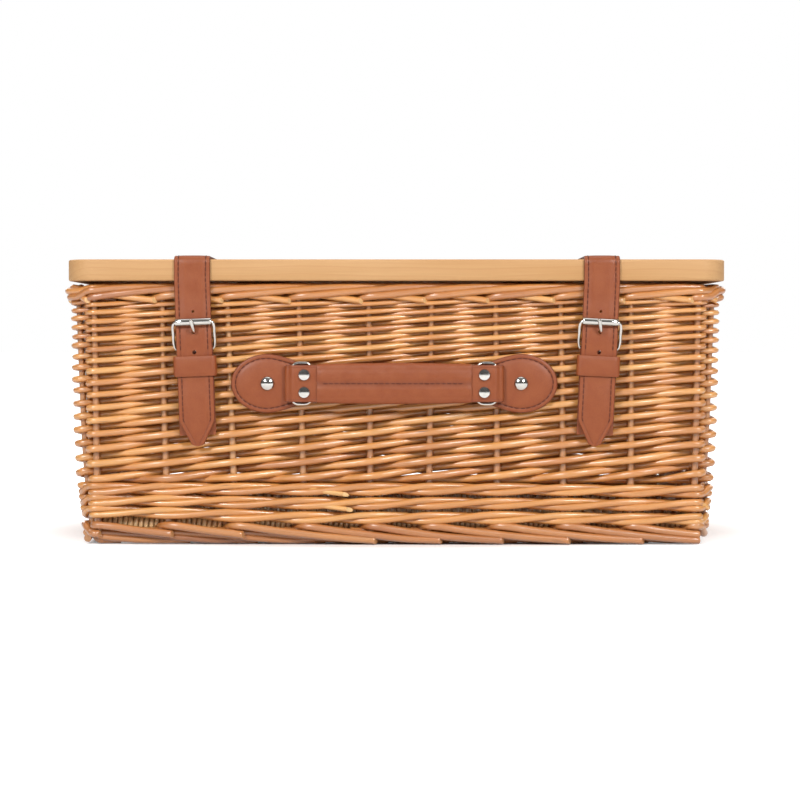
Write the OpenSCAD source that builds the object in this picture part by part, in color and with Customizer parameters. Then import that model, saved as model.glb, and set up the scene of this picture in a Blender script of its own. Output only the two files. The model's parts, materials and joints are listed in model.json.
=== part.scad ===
// Willow hamper with a wooden lid, two buckled straps and a carrying handle.
// Millimetres, +Z up, the front with the handle faces -Y, the hamper stands on z = 0.

/* [Lid] */
// Width of the wooden lid
lid_w = 460; // [440:1:480]
// Depth of the wooden lid, front to back
lid_d = 330; // [310:1:350]
// Thickness of the lid board
lid_t = 15; // [12:1:18]
// Corner radius of the lid seen from above
lid_r = 18; // [12:1:24]
// Height of the lid's underside above the ground
lid_z = 184; // [180:1:200]

/* [Wicker] */
// Distance between the two end stakes of the front
front_span = 421; // [410:1:425]
// Distance between the two end stakes of a side
side_span = 276; // [270:1:280]
// Half the distance between the two side rows of stakes
stake_x = 219; // [215:0.5:220]
// Half the distance between the front and back rows of stakes
stake_y = 154; // [150:0.5:155]
// Diameter of an upright stake
stake_d = 5; // [4:0.1:6]
// Thickness of the woven wall
wall_t = 15; // [12:0.5:16]
// Number of stakes along the front, both ends counted
front_stakes = 10; // [8:1:12]
// Number of stakes along a side, both ends counted
side_stakes = 7; // [5:1:9]
// Top of the foot border, where the wale begins
foot_top = 17; // [14:1:19]
// Top of the wale, where the plain weave begins
wale_top = 43; // [40:1:50]
// Height where the top border begins
border_z = 167; // [160:1:170]

/* [Base] */
// Diameter of a base stick
base_stick_d = 6; // [4:0.5:7]
// Number of base sticks
base_sticks_n = 9; // [7:1:11]
// Thickness of the woven base
base_t = 12; // [11:0.5:13]
// Underside of the woven base
base_z = 8; // [6:0.5:9]

/* [Straps] */
// Distance of each strap from the middle of the hamper
strap_x = 143; // [130:1:150]
// Width of a strap
strap_w = 25; // [22:0.5:28]
// Thickness of a strap
strap_t = 2.4; // [2:0.1:2.6]
// Lean of the left strap's hanging part towards the middle, degrees
lean_left = 1.7; // [0:0.1:3]
// Lean of the right strap's hanging part towards the middle, degrees
lean_right = 2.6; // [0:0.1:3]
// Distance between two punched holes
hole_pitch = 14.2; // [12:0.1:16]
// Height of the tip of the strap
tip_z = 69; // [66:1:74]

/* [Buckles] */
// Height of the bar that the prong turns on
bar_z = 136; // [134:0.5:138]
// Diameter of the buckle wire
wire_d = 2.2; // [2:0.1:2.4]
// Width of the buckle frame between its wires' middles
frame_w = 30; // [29:0.5:32]
// Outer diameter of the roller
roller_d = 4.8; // [4.4:0.1:5]

/* [Handle] */
// Sideways place of the handle's middle
handle_x = -1.5; // [-5:0.5:5]
// Height of the handle's middle
handle_z = 112.6; // [108:0.2:118]
// Distance from the handle's middle to a tab's screw
screw_x = 88.3; // [86:0.1:92]
// Distance from the handle's middle to a ring's fixed bar
inner_bar_x = 57.5; // [56:0.1:59]
// Length of a ring from its fixed bar to its free bar
ring_w = 16.1; // [15:0.1:17]
// Half the height of the padded grip
grip_h = 14; // [12:0.5:15]
// Thickness of the padded grip
grip_t = 8; // [7:0.5:9]

/* [Hidden] */
$fn = 48;
lid_top = lid_z + lid_t;
fit = 0.05;
crest = wall_t / 2;
front_y = -stake_y - crest;
inner_y = stake_y - crest;
inner_x = stake_x - crest;
corner_r = 26;

// straps: the side profile's middle line, as [y, z]
leather_y = lid_d / 2 + 0.1 + strap_t / 2;
edge_r = 0.1 + strap_t / 2;
hinge_gap = 2.3;
lid_hinge_z = lid_z - 0.5;
anchor_z = 96;

// buckle: the bar, the roller above it and the slope between them
bar_y = front_y - 2.95;
roller_z = bar_z + 19.4;
roller_y = front_y - 10.1;
frame_slope = atan((bar_y - roller_y) / (roller_z - bar_z));
frame_h = norm([bar_y - roller_y, roller_z - bar_z]);
prong_r = 1;
hole_z = bar_z + 12.4;
prong_back_y = front_y - 4;
prong_front_y = front_y - 11.1;
prong_tip_z = hole_z + 9;
prong_tip_y = front_y - 15.2;

// keeper, a closed loop round both straps
keeper_z = 117.6;
keeper_h = 14;
keeper_t = 1.2;
keeper_back = front_y - 0.2;
keeper_front = front_y - 8.9;

// handle
ring_wire = 2.5;
ring_half_h = 14.25;
tab_back = front_y - 0.5;
tab_t = 2.4;
inner_bar_y = front_y - 4.7;
ring_slope = 7;
outer_bar_x = inner_bar_x + ring_w * cos(ring_slope);
outer_bar_y = inner_bar_y - ring_w * sin(ring_slope);
sheet_back = front_y - 8.3;
sheet_t = 2.8;
sheet_h = 12.7;
sheet_end = 53.8;
grip_mid_y = sheet_back - sheet_t / 2;
rivet_x = 62.5;
rivet_dz = 6.1;

// reach in front of and behind the lid's middle, so that the whole object is centred on y = 0
front_reach = -(prong_tip_y - prong_r);
back_reach = leather_y + strap_t / 2;
body_y = (front_reach - back_reach) / 2;

// ---- shapes that repeat ----

// the points of an arc round c, from angle a0 to a1
function arc(c, r, a0, a1, n = 10) =
    [for (i = [0:n]) c + r * [cos(a0 + (a1 - a0) * i / n), sin(a0 + (a1 - a0) * i / n)]];
function unit(v) = v / norm(v);
function normal_at(p, i) =
    let (d = unit(p[min(i + 1, len(p) - 1)] - p[max(i - 1, 0)])) [-d[1], d[0]];
// the outline of a strip of thickness t along the middle line p
function strip(p, t) = concat(
    [for (i = [0:len(p) - 1]) p[i] + normal_at(p, i) * t / 2],
    [for (i = [len(p) - 1:-1:0]) p[i] - normal_at(p, i) * t / 2]);

// a side profile in [y, z], w wide along X and centred on it
module across(w) rotate([90, 0, 90]) linear_extrude(w, center = true) children();
// a front outline in [x, z], t deep along Y from y = 0 towards -Y
module facing(t) rotate([90, 0, 0]) linear_extrude(t) children();
// a rod or bore along X, centred
module rod_x(d, l) rotate([0, 90, 0]) cylinder(d = d, h = l, center = true);
// a rod or bore from y = y0 to y = y1
module rod_y(d, y0, y1) translate([0, y1, 0]) rotate([90, 0, 0]) cylinder(d = d, h = y1 - y0);
// a round rod with ball ends between two points of one x plane, as [y, z]
module bar_yz(a, b, r) {
    d = b - a;
    translate([0, a[0], a[1]]) {
        sphere(r + 0.02);
        rotate([atan2(-d[0], d[1]), 0, 0]) cylinder(r = r, h = norm(d));
    }
    translate([0, b[0], b[1]]) sphere(r + 0.02);
}

module rounded_plan(hx, hy, r) {
    square([2 * hx - 2 * r, 2 * hy], center = true);
    square([2 * hx, 2 * hy - 2 * r], center = true);
    for (sx = [-1, 1], sy = [-1, 1])
        translate([sx * (hx - r), sy * (hy - r)]) circle(r);
}
// a closed band of woven rods, out and in measured from the lines of the stakes
module band(z0, z1, out, in) translate([0, 0, z0]) linear_extrude(z1 - z0) difference() {
    rounded_plan(stake_x + out, stake_y + out, corner_r);
    rounded_plan(stake_x - in, stake_y - in, corner_r - out - in);
}

// a loop of round wire, w by h between the wires' middles, standing in the XZ plane from z = 0
module wire_loop(w, h, d, bend) {
    for (z = [0, h]) translate([0, 0, z]) rod_x(d, w - 2 * bend);
    for (s = [-1, 1]) translate([s * w / 2, 0, bend]) cylinder(d = d, h = h - 2 * bend);
    for (sx = [0, 1], sz = [0, 1]) mirror([sx, 0, 0])
        translate([w / 2 - bend, 0, sz == 0 ? bend : h - bend]) rotate([90, 0, 0])
            rotate([0, 0, sz == 0 ? -90 : 0]) rotate_extrude(angle = 90)
                translate([bend, 0]) circle(d = d);
}
// a domed head of radius r and height h that faces -Y from y = 0
module dome(r, h) {
    ball = (r * r + h * h) / (2 * h);
    intersection() {
        translate([0, ball - h, 0]) sphere(ball, $fn = 64);
        rod_y(2 * r, -h - 1, 0);
    }
}

// ---- the wicker ----

module stake(x, y) translate([x, y, foot_top - 8]) cylinder(d = stake_d, h = border_z + 6 - foot_top + 8);

module stakes() color("peru") {
    for (i = [1:front_stakes - 2], s = [-1, 1])
        stake(-front_span / 2 + i * front_span / (front_stakes - 1), s * stake_y);
    for (i = [1:side_stakes - 2], s = [-1, 1])
        stake(s * stake_x, -side_span / 2 + i * side_span / (side_stakes - 1));
}
module corner_posts() color("sienna") for (sx = [-1, 1], sy = [-1, 1]) {
    stake(sx * front_span / 2, sy * stake_y);
    stake(sx * stake_x, sy * side_span / 2);
}
base_hx = stake_x - 11;
base_hy = stake_y - 11;
module base_sticks() color("burlywood") for (i = [0:base_sticks_n - 1])
    translate([0, (base_hy - 8) * (2 * i / (base_sticks_n - 1) - 1), base_z + base_t / 2])
        rod_x(base_stick_d, 2 * base_hx + 12);
module base_weave() color("tan") translate([0, 0, base_z]) linear_extrude(base_t)
    rounded_plan(base_hx, base_hy, corner_r - 18);

module wall_bores(z) for (s = [-1, 1]) translate([s * strap_x, 0, z]) children();
module wall_weave() color("goldenrod") difference() {
    band(wale_top, border_z, crest, crest);
    for (s = [-1, 1]) {
        translate([handle_x + s * screw_x, 0, handle_z]) rod_y(4 + 2 * fit, -stake_y - 10, -inner_y + 1);
        front_rivet_place(s) rod_y(3 + 2 * fit, -stake_y - 10, -inner_y + 1);
        translate([s * strap_x, 0, anchor_z]) rod_y(3 + 2 * fit, inner_y - 1, stake_y + 10);
    }
}
module bottom_wale() color("darkgoldenrod") band(foot_top, wale_top, crest - 0.5, crest);
module top_border() color("goldenrod") band(border_z, lid_z - 0.3, crest + 1.5, crest + 3.5);
module foot_border() color("chocolate") band(0, foot_top, crest, 10.8);

// ---- the lid ----

lid_screw_y = [-lid_d / 2 + 62, lid_d / 2 - 26];
batten_x = 95;
batten_w = 36;
batten_t = 11;
batten_l = 262;
batten_screw_y = 105;

module lid_board() color("burlywood") difference() {
    translate([0, 0, lid_z]) linear_extrude(lid_t) rounded_plan(lid_w / 2, lid_d / 2, lid_r);
    for (s = [-1, 1]) {
        for (y = lid_screw_y) translate([s * strap_x, y, lid_top - 9]) cylinder(d = 3 + 2 * fit, h = 10);
        for (i = [-1:1]) translate([s * batten_x, i * batten_screw_y, lid_z - 1])
            cylinder(d = 3.4 + 2 * fit, h = 9);
    }
}
module lid_battens() color("wheat") for (s = [-1, 1]) difference() {
    translate([s * batten_x - batten_w / 2, -batten_l / 2, lid_z - batten_t])
        cube([batten_w, batten_l, batten_t]);
    for (i = [-1:1]) translate([s * batten_x, i * batten_screw_y, lid_z - batten_t - 1]) {
        cylinder(d = 7 + 4 * fit, h = 3.2);
        cylinder(d = 3.4 + 2 * fit, h = batten_t + 2);
    }
}
module batten_screws() color("silver") for (s = [-1, 1], i = [-1:1])
    translate([s * batten_x, i * batten_screw_y, lid_z - batten_t]) {
        translate([0, 0, 0.2]) cylinder(d = 7, h = 2);
        cylinder(d = 3.4, h = batten_t + 7);
    }

// ---- the straps: one strap each side, in three lengths that bend against each other ----

module lid_strap(s) color("sienna") translate([s * strap_x, 0, 0]) difference() {
    across(strap_w) polygon(strip(concat(
        [[leather_y, lid_hinge_z + hinge_gap]],
        arc([lid_d / 2, lid_top], edge_r, 0, 90),
        arc([-lid_d / 2, lid_top], edge_r, 90, 180),
        [[-leather_y, lid_z + 1.5]]), strap_t));
    for (y = lid_screw_y) translate([0, y, lid_top - 1]) cylinder(d = 3 + 2 * fit, h = 6);
}
module lid_strap_screws() color("silver") for (s = [-1, 1], y = lid_screw_y)
    translate([s * strap_x, y, lid_top + 0.1 + strap_t]) {
        rotate([-90, 0, 0]) dome(4, 1.8);
        translate([0, 0, -10]) cylinder(d = 3, h = 10);
    }
back_strap_end = anchor_z - 14;
module back_strap(s) color("sienna") translate([s * strap_x, 0, 0]) difference() {
    across(strap_w) polygon(strip([[leather_y, lid_hinge_z - hinge_gap], [leather_y, lid_z - 8],
        [stake_y + crest + 0.3 + strap_t / 2, lid_z - 26],
        [stake_y + crest + 0.3 + strap_t / 2, back_strap_end]], strap_t));
    translate([0, 0, anchor_z]) rod_y(3 + 2 * fit, stake_y, stake_y + 20);
}
module back_strap_rivets() color("silver") for (s = [-1, 1]) translate([s * strap_x, 0, anchor_z]) {
    translate([0, stake_y + crest + 0.3 + strap_t, 0]) mirror([0, 1, 0]) dome(4.5, 1.8);
    rod_y(3, inner_y - 2.2, stake_y + crest + 0.3 + strap_t);
    rod_y(5, inner_y - 2.2, inner_y - 1);
}

// everything on the front of strap s leans about the lid's lower front edge
function lean(s) = s < 0 ? -lean_left : lean_right;
module leaning(s) translate([s * strap_x, 0, lid_z]) rotate([0, lean(s), 0]) translate([0, 0, -lid_z])
    children();
rivet_z = 95;
module front_rivet_place(s) leaning(s) translate([0, 0, rivet_z]) children();

tongue_line = [[-leather_y, lid_z - 1.5], [front_y - 5.6, 168], [front_y - 6.1, roller_z],
    [front_y - 6.9, 145], [front_y - 6.9, bar_z], [front_y - 5.8, 130], [front_y - 5.7, 117],
    [front_y - 6.1, 108], [front_y - 6.1, 88], [front_y - 5.4, tip_z]];
taper = 17.3;
// half the strap's width at a share u of the way from where it narrows to its tip
function tip_half_w(u) = strap_w / 2 * pow(max(1 - pow(u, 2.3), 0), 0.8);
module tongue_outline() polygon(concat(
    [[-strap_w / 2, lid_z], [strap_w / 2, lid_z]],
    [for (i = [0:12]) [tip_half_w(i / 12), tip_z + taper * (1 - i / 12)]],
    [for (i = [11:-1:0]) [-tip_half_w(i / 12), tip_z + taper * (1 - i / 12)]]));
module strap_tongue(s) color("sienna") leaning(s) difference() {
    intersection() {
        across(strap_w + 2) polygon(strip(tongue_line, strap_t));
        translate([0, front_y, 0]) facing(20) tongue_outline();
    }
    for (i = [-1:2]) translate([0, 0, hole_z - i * hole_pitch])
        rod_y(i == 0 ? 3.4 : 3, front_y - 20, front_y);
}

// the short strap that holds the buckle: two layers that turn round its bar
layer_t = 1.2;
back_layer_y = front_y - 2.3;
front_layer_y = front_y - 3.55;
loop_r = wire_d / 2 + 0.1 + layer_t / 2;
module buckle_strap(s) color("saddlebrown") leaning(s) difference() {
    across(strap_w) polygon(strip(concat([[back_layer_y, 77], [back_layer_y, bar_z - 4]],
        arc([bar_y, bar_z], loop_r, -20, 200, 16),
        [[front_layer_y, bar_z - 4], [front_layer_y, 113]]), layer_t));
    translate([-2.2, front_y - 12, bar_z - 4]) cube([4.4, 12, 10]);
    translate([0, 0, rivet_z]) rod_y(3 + 2 * fit, front_y - 6, front_y);
}
module buckle_strap_rivets() color("silver") for (s = [-1, 1]) front_rivet_place(s) {
    rod_y(8, back_layer_y - layer_t / 2 - 1, back_layer_y - layer_t / 2);
    rod_y(3, back_layer_y - layer_t / 2, -inner_y + 2.2);
    rod_y(5, -inner_y + 1, -inner_y + 2.2);
}
module washer(y0, y1, bore) difference() {
    rod_y(14, y0, y1);
    rod_y(bore + 2 * fit, y0 - 1, y1 + 1);
}
module rivet_washers() color("gainsboro") for (s = [-1, 1]) {
    front_rivet_place(s) washer(-inner_y, -inner_y + 1, 3);
    translate([s * strap_x, 0, anchor_z]) washer(inner_y - 1, inner_y, 3);
    translate([handle_x + s * screw_x, 0, handle_z]) washer(-inner_y, -inner_y + 1, 4);
}
module keeper(s) color("sienna") leaning(s) translate([0, 0, keeper_z]) linear_extrude(keeper_h)
    difference() {
        translate([-strap_w / 2 - 1.6, keeper_front]) square([strap_w + 3.2, keeper_back - keeper_front]);
        translate([-strap_w / 2 - 0.4, keeper_front + keeper_t])
            square([strap_w + 0.8, keeper_back - keeper_front - 2 * keeper_t]);
    }

module buckle_frame(s) color("silver") leaning(s) translate([0, bar_y, bar_z])
    rotate([frame_slope, 0, 0]) wire_loop(frame_w, frame_h, wire_d, 3);
module buckle_roller(s) color("silver") leaning(s) translate([0, roller_y, roller_z]) difference() {
    rod_x(roller_d, frame_w - 6.2);
    rod_x(wire_d + 2 * fit, frame_w);
}
module buckle_prong(s) color("silver") leaning(s) {
    difference() {
        union() {
            translate([0, bar_y, bar_z]) rod_x(wire_d + 2.3, 2.6);
            bar_yz([prong_back_y, bar_z + 1], [prong_back_y, hole_z], prong_r);
        }
        translate([0, bar_y, bar_z]) rod_x(wire_d + 2 * fit, 4);
    }
    bar_yz([prong_back_y, hole_z], [prong_front_y, hole_z], prong_r);
    bar_yz([prong_front_y, hole_z], [prong_tip_y, prong_tip_z], prong_r);
}

// ---- the handle ----

module handle_side(s) translate([handle_x, 0, handle_z]) mirror([s > 0 ? 0 : 1, 0, 0]) children();
// a rod or bore along Z at (x, y), h high and centred on the handle
module rod_z(x, y, d, h) translate([x, y, 0]) cylinder(d = d, h = h, center = true);
tab_reach = 25.5;
tab_half_h = 20.6;
tab_neck_h = 12;
loop_h = 22;
// an egg: half an ellipse outside, narrowing to the neck inside
module tab_outline() polygon(concat(
    [for (a = [-90:7.5:90]) [screw_x + tab_reach * cos(a), tab_half_h * sin(a)]],
    [for (k = [1:12]) let (u = k / 12)
        [screw_x - (screw_x - inner_bar_x - 2) * u,
         tab_neck_h + (tab_half_h - tab_neck_h) * (1 + cos(180 * pow(u, 0.9))) / 2]],
    [[inner_bar_x, tab_neck_h], [inner_bar_x, -tab_neck_h]],
    [for (k = [12:-1:1]) let (u = k / 12)
        [screw_x - (screw_x - inner_bar_x - 2) * u,
         -tab_neck_h - (tab_half_h - tab_neck_h) * (1 + cos(180 * pow(u, 0.9))) / 2]]));
module handle_tab(s) color("sienna") handle_side(s) difference() {
    union() {
        translate([0, tab_back, 0]) facing(tab_t) tab_outline();
        rod_z(inner_bar_x, inner_bar_y, 6.4, loop_h);
    }
    rod_z(inner_bar_x, inner_bar_y, s < 0 ? ring_wire + 2 * fit : 4.4, loop_h + 2);
    translate([screw_x, 0, 0]) rod_y(4 + 2 * fit, tab_back - 5, tab_back + 1);
}
module handle_screws() color("silver") for (s = [-1, 1]) handle_side(s) translate([screw_x, 0, 0]) {
    translate([0, tab_back - tab_t, 0]) dome(4.8, 4);
    rod_y(4, tab_back - tab_t, -inner_y + 4);
}
module handle_nuts() color("silver") for (s = [-1, 1]) handle_side(s)
    translate([screw_x, -inner_y + 4, 0]) rotate([90, 0, 0]) difference() {
        cylinder(d = 8.1, h = 3, $fn = 6);
        translate([0, 0, -1]) cylinder(d = 4 + 2 * fit, h = 5);
    }
module handle_ring(s) color("silver") handle_side(s) translate([inner_bar_x, inner_bar_y, -ring_half_h])
    rotate([0, 0, -ring_slope]) translate([ring_w / 2, 0, 0])
        wire_loop(ring_w, 2 * ring_half_h, ring_wire, 3);
fold_h = 22;
// the notch between the two halves' inner sides, which closes when the handle bows out
module grip_notch() linear_extrude(4 * grip_h, center = true) polygon([[0, grip_mid_y],
    [0.3, grip_mid_y], [0.3 + 6 * tan(30), grip_mid_y + 6], [0, grip_mid_y + 6]]);
module handle_strap(s) color("sienna") handle_side(s) difference() {
    union() {
        rod_z(outer_bar_x, outer_bar_y, 5.5, fold_h);
        translate([0.3, sheet_back - sheet_t, -sheet_h])
            cube([outer_bar_x - 0.3, sheet_t, 2 * sheet_h]);
    }
    rod_z(outer_bar_x, outer_bar_y, ring_wire + 2 * fit, fold_h + 2);
    grip_notch();
    for (d = [-1, 1]) translate([rivet_x, 0, d * rivet_dz])
        rod_y(3 + 2 * fit, sheet_back - 5, sheet_back + 5);
}
module handle_rivets(s) color("silver") handle_side(s) for (d = [-1, 1])
    translate([rivet_x, 0, d * rivet_dz]) {
        translate([0, sheet_back - sheet_t, 0]) dome(3.9, 2.2);
        rod_y(3, sheet_back - sheet_t, sheet_back + 0.7);
        rod_y(5, sheet_back, sheet_back + 0.7);
    }
grip_end_r = 3.2;
module handle_grip(s) color("sienna") handle_side(s) difference() {
    translate([0.3, grip_mid_y, 0]) rotate([90, 0, 90]) linear_extrude(sheet_end - 0.3) difference() {
        rounded_plan(grip_t / 2, grip_h, grip_end_r);
        square([sheet_t + 2 * fit, 2 * sheet_h + 2 * fit], center = true);
    }
    grip_notch();
}

// puts the model where the whole object is centred on y = 0
module placed() translate([0, body_y, 0]) children();

placed() stakes();
placed() corner_posts();
placed() base_sticks();
placed() base_weave();
placed() wall_weave();
placed() bottom_wale();
placed() top_border();
placed() foot_border();
placed() lid_board();
placed() lid_battens();
placed() batten_screws();
placed() lid_strap(-1);  // lid_strap_left
placed() lid_strap(1);  // lid_strap_right
placed() lid_strap_screws();
placed() back_strap(-1);  // back_strap_left
placed() back_strap(1);  // back_strap_right
placed() back_strap_rivets();
placed() strap_tongue(-1);  // strap_tongue_left
placed() strap_tongue(1);  // strap_tongue_right
placed() buckle_strap(-1);  // buckle_strap_left
placed() buckle_strap(1);  // buckle_strap_right
placed() buckle_strap_rivets();
placed() rivet_washers();
placed() keeper(-1);  // keeper_left
placed() keeper(1);  // keeper_right
placed() buckle_frame(-1);  // buckle_frame_left
placed() buckle_frame(1);  // buckle_frame_right
placed() buckle_roller(-1);  // buckle_roller_left
placed() buckle_roller(1);  // buckle_roller_right
placed() buckle_prong(-1);  // buckle_prong_left
placed() buckle_prong(1);  // buckle_prong_right
placed() handle_tab(-1);  // handle_tab_left
placed() handle_tab(1);  // handle_tab_right
placed() handle_screws();
placed() handle_nuts();
placed() handle_ring(-1);  // handle_ring_left
placed() handle_ring(1);  // handle_ring_right
placed() handle_strap(-1);  // handle_strap_left
placed() handle_strap(1);  // handle_strap_right
placed() handle_grip(-1);  // handle_grip_left
placed() handle_grip(1);  // handle_grip_right
placed() handle_rivets(-1);  // handle_rivets_left
placed() handle_rivets(1);  // handle_rivets_right
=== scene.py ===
import bmesh
import bpy
import json
import math
import random
import numpy as np
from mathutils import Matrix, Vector

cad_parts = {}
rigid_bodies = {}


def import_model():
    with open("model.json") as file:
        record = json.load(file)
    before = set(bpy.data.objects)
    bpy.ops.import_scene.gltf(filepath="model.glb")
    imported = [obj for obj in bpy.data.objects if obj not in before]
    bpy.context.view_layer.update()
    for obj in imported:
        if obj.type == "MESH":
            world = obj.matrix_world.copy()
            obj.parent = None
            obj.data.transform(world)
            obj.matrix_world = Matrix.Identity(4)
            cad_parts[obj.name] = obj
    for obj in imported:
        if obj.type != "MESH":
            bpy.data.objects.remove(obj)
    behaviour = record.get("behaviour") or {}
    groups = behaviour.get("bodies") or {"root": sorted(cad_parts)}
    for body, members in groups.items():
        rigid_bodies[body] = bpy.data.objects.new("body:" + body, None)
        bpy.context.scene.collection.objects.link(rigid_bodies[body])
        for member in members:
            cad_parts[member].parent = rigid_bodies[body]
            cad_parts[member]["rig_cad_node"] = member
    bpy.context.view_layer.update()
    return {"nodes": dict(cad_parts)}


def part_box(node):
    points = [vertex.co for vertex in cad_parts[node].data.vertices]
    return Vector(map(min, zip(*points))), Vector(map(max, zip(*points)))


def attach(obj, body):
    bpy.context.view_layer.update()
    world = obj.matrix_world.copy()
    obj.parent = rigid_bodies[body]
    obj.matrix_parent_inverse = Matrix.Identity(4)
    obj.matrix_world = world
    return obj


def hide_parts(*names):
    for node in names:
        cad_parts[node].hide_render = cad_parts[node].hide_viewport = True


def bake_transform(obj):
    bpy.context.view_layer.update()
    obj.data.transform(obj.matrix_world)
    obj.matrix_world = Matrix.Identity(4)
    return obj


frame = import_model()
NODES = frame["nodes"]
MM = 0.001

# ---------------------------------------------------------------- the frame's sizes, in mm
lid_lo, lid_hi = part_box("lid_board")
MID_Y = (lid_lo[1] + lid_hi[1]) / 2 / MM      # the lid's middle; local y = 0
LID_W = (lid_hi[0] - lid_lo[0]) / MM
LID_D = (lid_hi[1] - lid_lo[1]) / MM
LID_Z = lid_lo[2] / MM
LID_TOP = lid_hi[2] / MM
STAKE_X, STAKE_Y = 219.0, 154.0               # the lines the uprights stand on
FRONT_SPAN, SIDE_SPAN = 421.0, 276.0
FRONT_Y = -161.5                              # crest of the weave on the front
STRAP_X, STRAP_W, STRAP_T = 143.0, 25.0, 2.4
LEAN = {-1: math.radians(1.7) + 0.006, 1: math.radians(-2.6)}
MID_X = {-1: -STRAP_X + 0.9, 1: STRAP_X}      # where each strap leaves the lid
SIDES = ((-1, "left"), (1, "right"))
LEATHER_Y = LID_D / 2 + 1.3
BAR_Z = 136.0
BAR_Y = FRONT_Y - 2.95
ROLLER_Z, ROLLER_Y = BAR_Z + 19.4, FRONT_Y - 10.1
HOLE_Z = BAR_Z + 12.4
HANDLE_X, HANDLE_Z = -1.5, 112.6
INNER_X, INNER_Y = 57.5, FRONT_Y - 4.7
RING_TILT, RING_REACH = math.radians(7), 16.1
OUTER_X = INNER_X + RING_REACH * math.cos(RING_TILT)
OUTER_Y = INNER_Y - RING_REACH * math.sin(RING_TILT)
SHEET_Y = FRONT_Y - 9.7
SCREW_X = 88.3


# ---------------------------------------------------------------- camera, floor, light
scene = bpy.context.scene
scene.view_settings.view_transform = "Standard"
scene.view_settings.look = "None"

cam_data = bpy.data.cameras.new("camera")
cam = bpy.data.objects.new("camera", cam_data)
scene.collection.objects.link(cam)
scene.camera = cam
CAM_D, SEEN_WIDTH = 1.9, 0.558                        # m; the width is what is seen at the front wall
CAM_X, CAM_Z, AIM_Z = 0.0025, 0.142, 0.1010
cam_data.sensor_width = 36.0
cam_data.lens = 36.0 * CAM_D / SEEN_WIDTH
cam.location = (CAM_X, (FRONT_Y + MID_Y) * MM - CAM_D, CAM_Z)
target = Vector((CAM_X, (FRONT_Y + MID_Y) * MM, AIM_Z))
cam.rotation_euler = (target - cam.location).to_track_quat("-Z", "Y").to_euler()
cam_data.clip_start = 0.05
cam_data.clip_end = 60


def area(name, loc, look, size, power, size_y=None):
    data = bpy.data.lights.new(name, "AREA")
    data.shape = "RECTANGLE"
    data.size = size
    data.size_y = size_y or size
    data.energy = power
    o = bpy.data.objects.new(name, data)
    o.location = loc
    o.rotation_euler = (Vector(look) - Vector(loc)).to_track_quat("-Z", "Y").to_euler()
    scene.collection.objects.link(o)
    return o


area("right_box", (1.05, -1.95, 1.2), (0, -0.1, 0.12), 0.38, 27, 0.5)
area("left_box", (-1.05, -1.95, 1.2), (0, -0.1, 0.12), 0.38, 27, 0.5)
area("back_left", (-1.3, 2.0, 1.3), (0, 0.1, 0.1), 1.2, 15)
area("back_right", (1.5, 1.8, 1.3), (0, 0.1, 0.1), 1.2, 15)
area("top", (0.1, 0.2, 2.4), (0, 0, 0), 1.8, 13)


def node_new(tree, kind, **values):
    n = tree.nodes.new(kind)
    for k, v in values.items():
        setattr(n, k, v)
    return n


world = bpy.data.worlds.new("studio")
scene.world = world
world.use_nodes = True
wt = world.node_tree
wt.nodes.clear()


def background(color, strength):
    n = wt.nodes.new("ShaderNodeBackground")
    n.inputs["Strength"].default_value = strength
    if hasattr(color, "node"):
        wt.links.new(color, n.inputs["Color"])
    else:
        n.inputs["Color"].default_value = (color, color, color, 1)
    return n.outputs[0]


def world_mix(fac, a, b):
    n = wt.nodes.new("ShaderNodeMixShader")
    for socket, value in zip(n.inputs, (fac, a, b)):
        wt.links.new(value, socket)
    return n.outputs[0]


# white behind the object, a soft sky on it, and a dark room with grey bands in its reflections
height = wt.nodes.new("ShaderNodeSeparateXYZ")
wt.links.new(wt.nodes.new("ShaderNodeTexCoord").outputs["Generated"], height.inputs[0])
scaled = wt.nodes.new("ShaderNodeMapRange")
scaled.inputs["From Min"].default_value = -1
wt.links.new(height.outputs["Z"], scaled.inputs["Value"])


def sky(stops):
    r = wt.nodes.new("ShaderNodeValToRGB")
    el = r.color_ramp.elements
    while len(el) < len(stops):
        el.new(0.5)
    for e, (pos, v) in zip(el, stops):
        e.position, e.color = pos, (v, v, v, 1)
    wt.links.new(scaled.outputs["Result"], r.inputs["Fac"])
    return r.outputs["Color"]


paths = wt.nodes.new("ShaderNodeLightPath")
soft = background(sky([(0.0, 0.4), (0.5, 0.5), (0.62, 0.9), (1.0, 1.3)]), 0.54)
room = background(sky([(0.0, 0.5), (0.49, 0.55), (0.52, 0.08), (0.75, 0.18), (1.0, 0.4)]), 1.0)
lit = world_mix(paths.outputs["Is Glossy Ray"], soft, room)
out = wt.nodes.new("ShaderNodeOutputWorld")
wt.links.new(world_mix(paths.outputs["Is Camera Ray"], lit, background(1.0, 1.0)), out.inputs["Surface"])


# ---------------------------------------------------------------- mesh building
def travel(line):
    """The direction of travel at each point of an open line."""
    tan = np.gradient(np.asarray(line, float), axis=0)
    return tan / np.linalg.norm(tan, axis=1)[:, None]


def travel_round(line):
    """The same for a closed line."""
    tan = np.roll(line, -1, 0) - np.roll(line, 1, 0)
    return tan / np.linalg.norm(tan, axis=1)[:, None]


def left_of(tan):
    """Directions in a plane, turned a quarter turn to their left."""
    return np.stack([-tan[:, 1], tan[:, 0]], 1)


def distance(line):
    """How far along a line each of its points lies."""
    return np.concatenate([[0], np.cumsum(np.linalg.norm(np.diff(line, axis=0), axis=1))])


def sample(line, places):
    """The points of a line that lie these distances along it."""
    s = distance(line)
    return np.stack([np.interp(places, s, line[:, i]) for i in range(line.shape[1])], 1)


def resample(line, step):
    """A line's points step apart, and how far along each lies."""
    line = np.asarray(line, float)
    length = distance(line)[-1]
    places = np.linspace(0, length, max(2, int(round(length / step)) + 1))
    return sample(line, places), places


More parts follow.
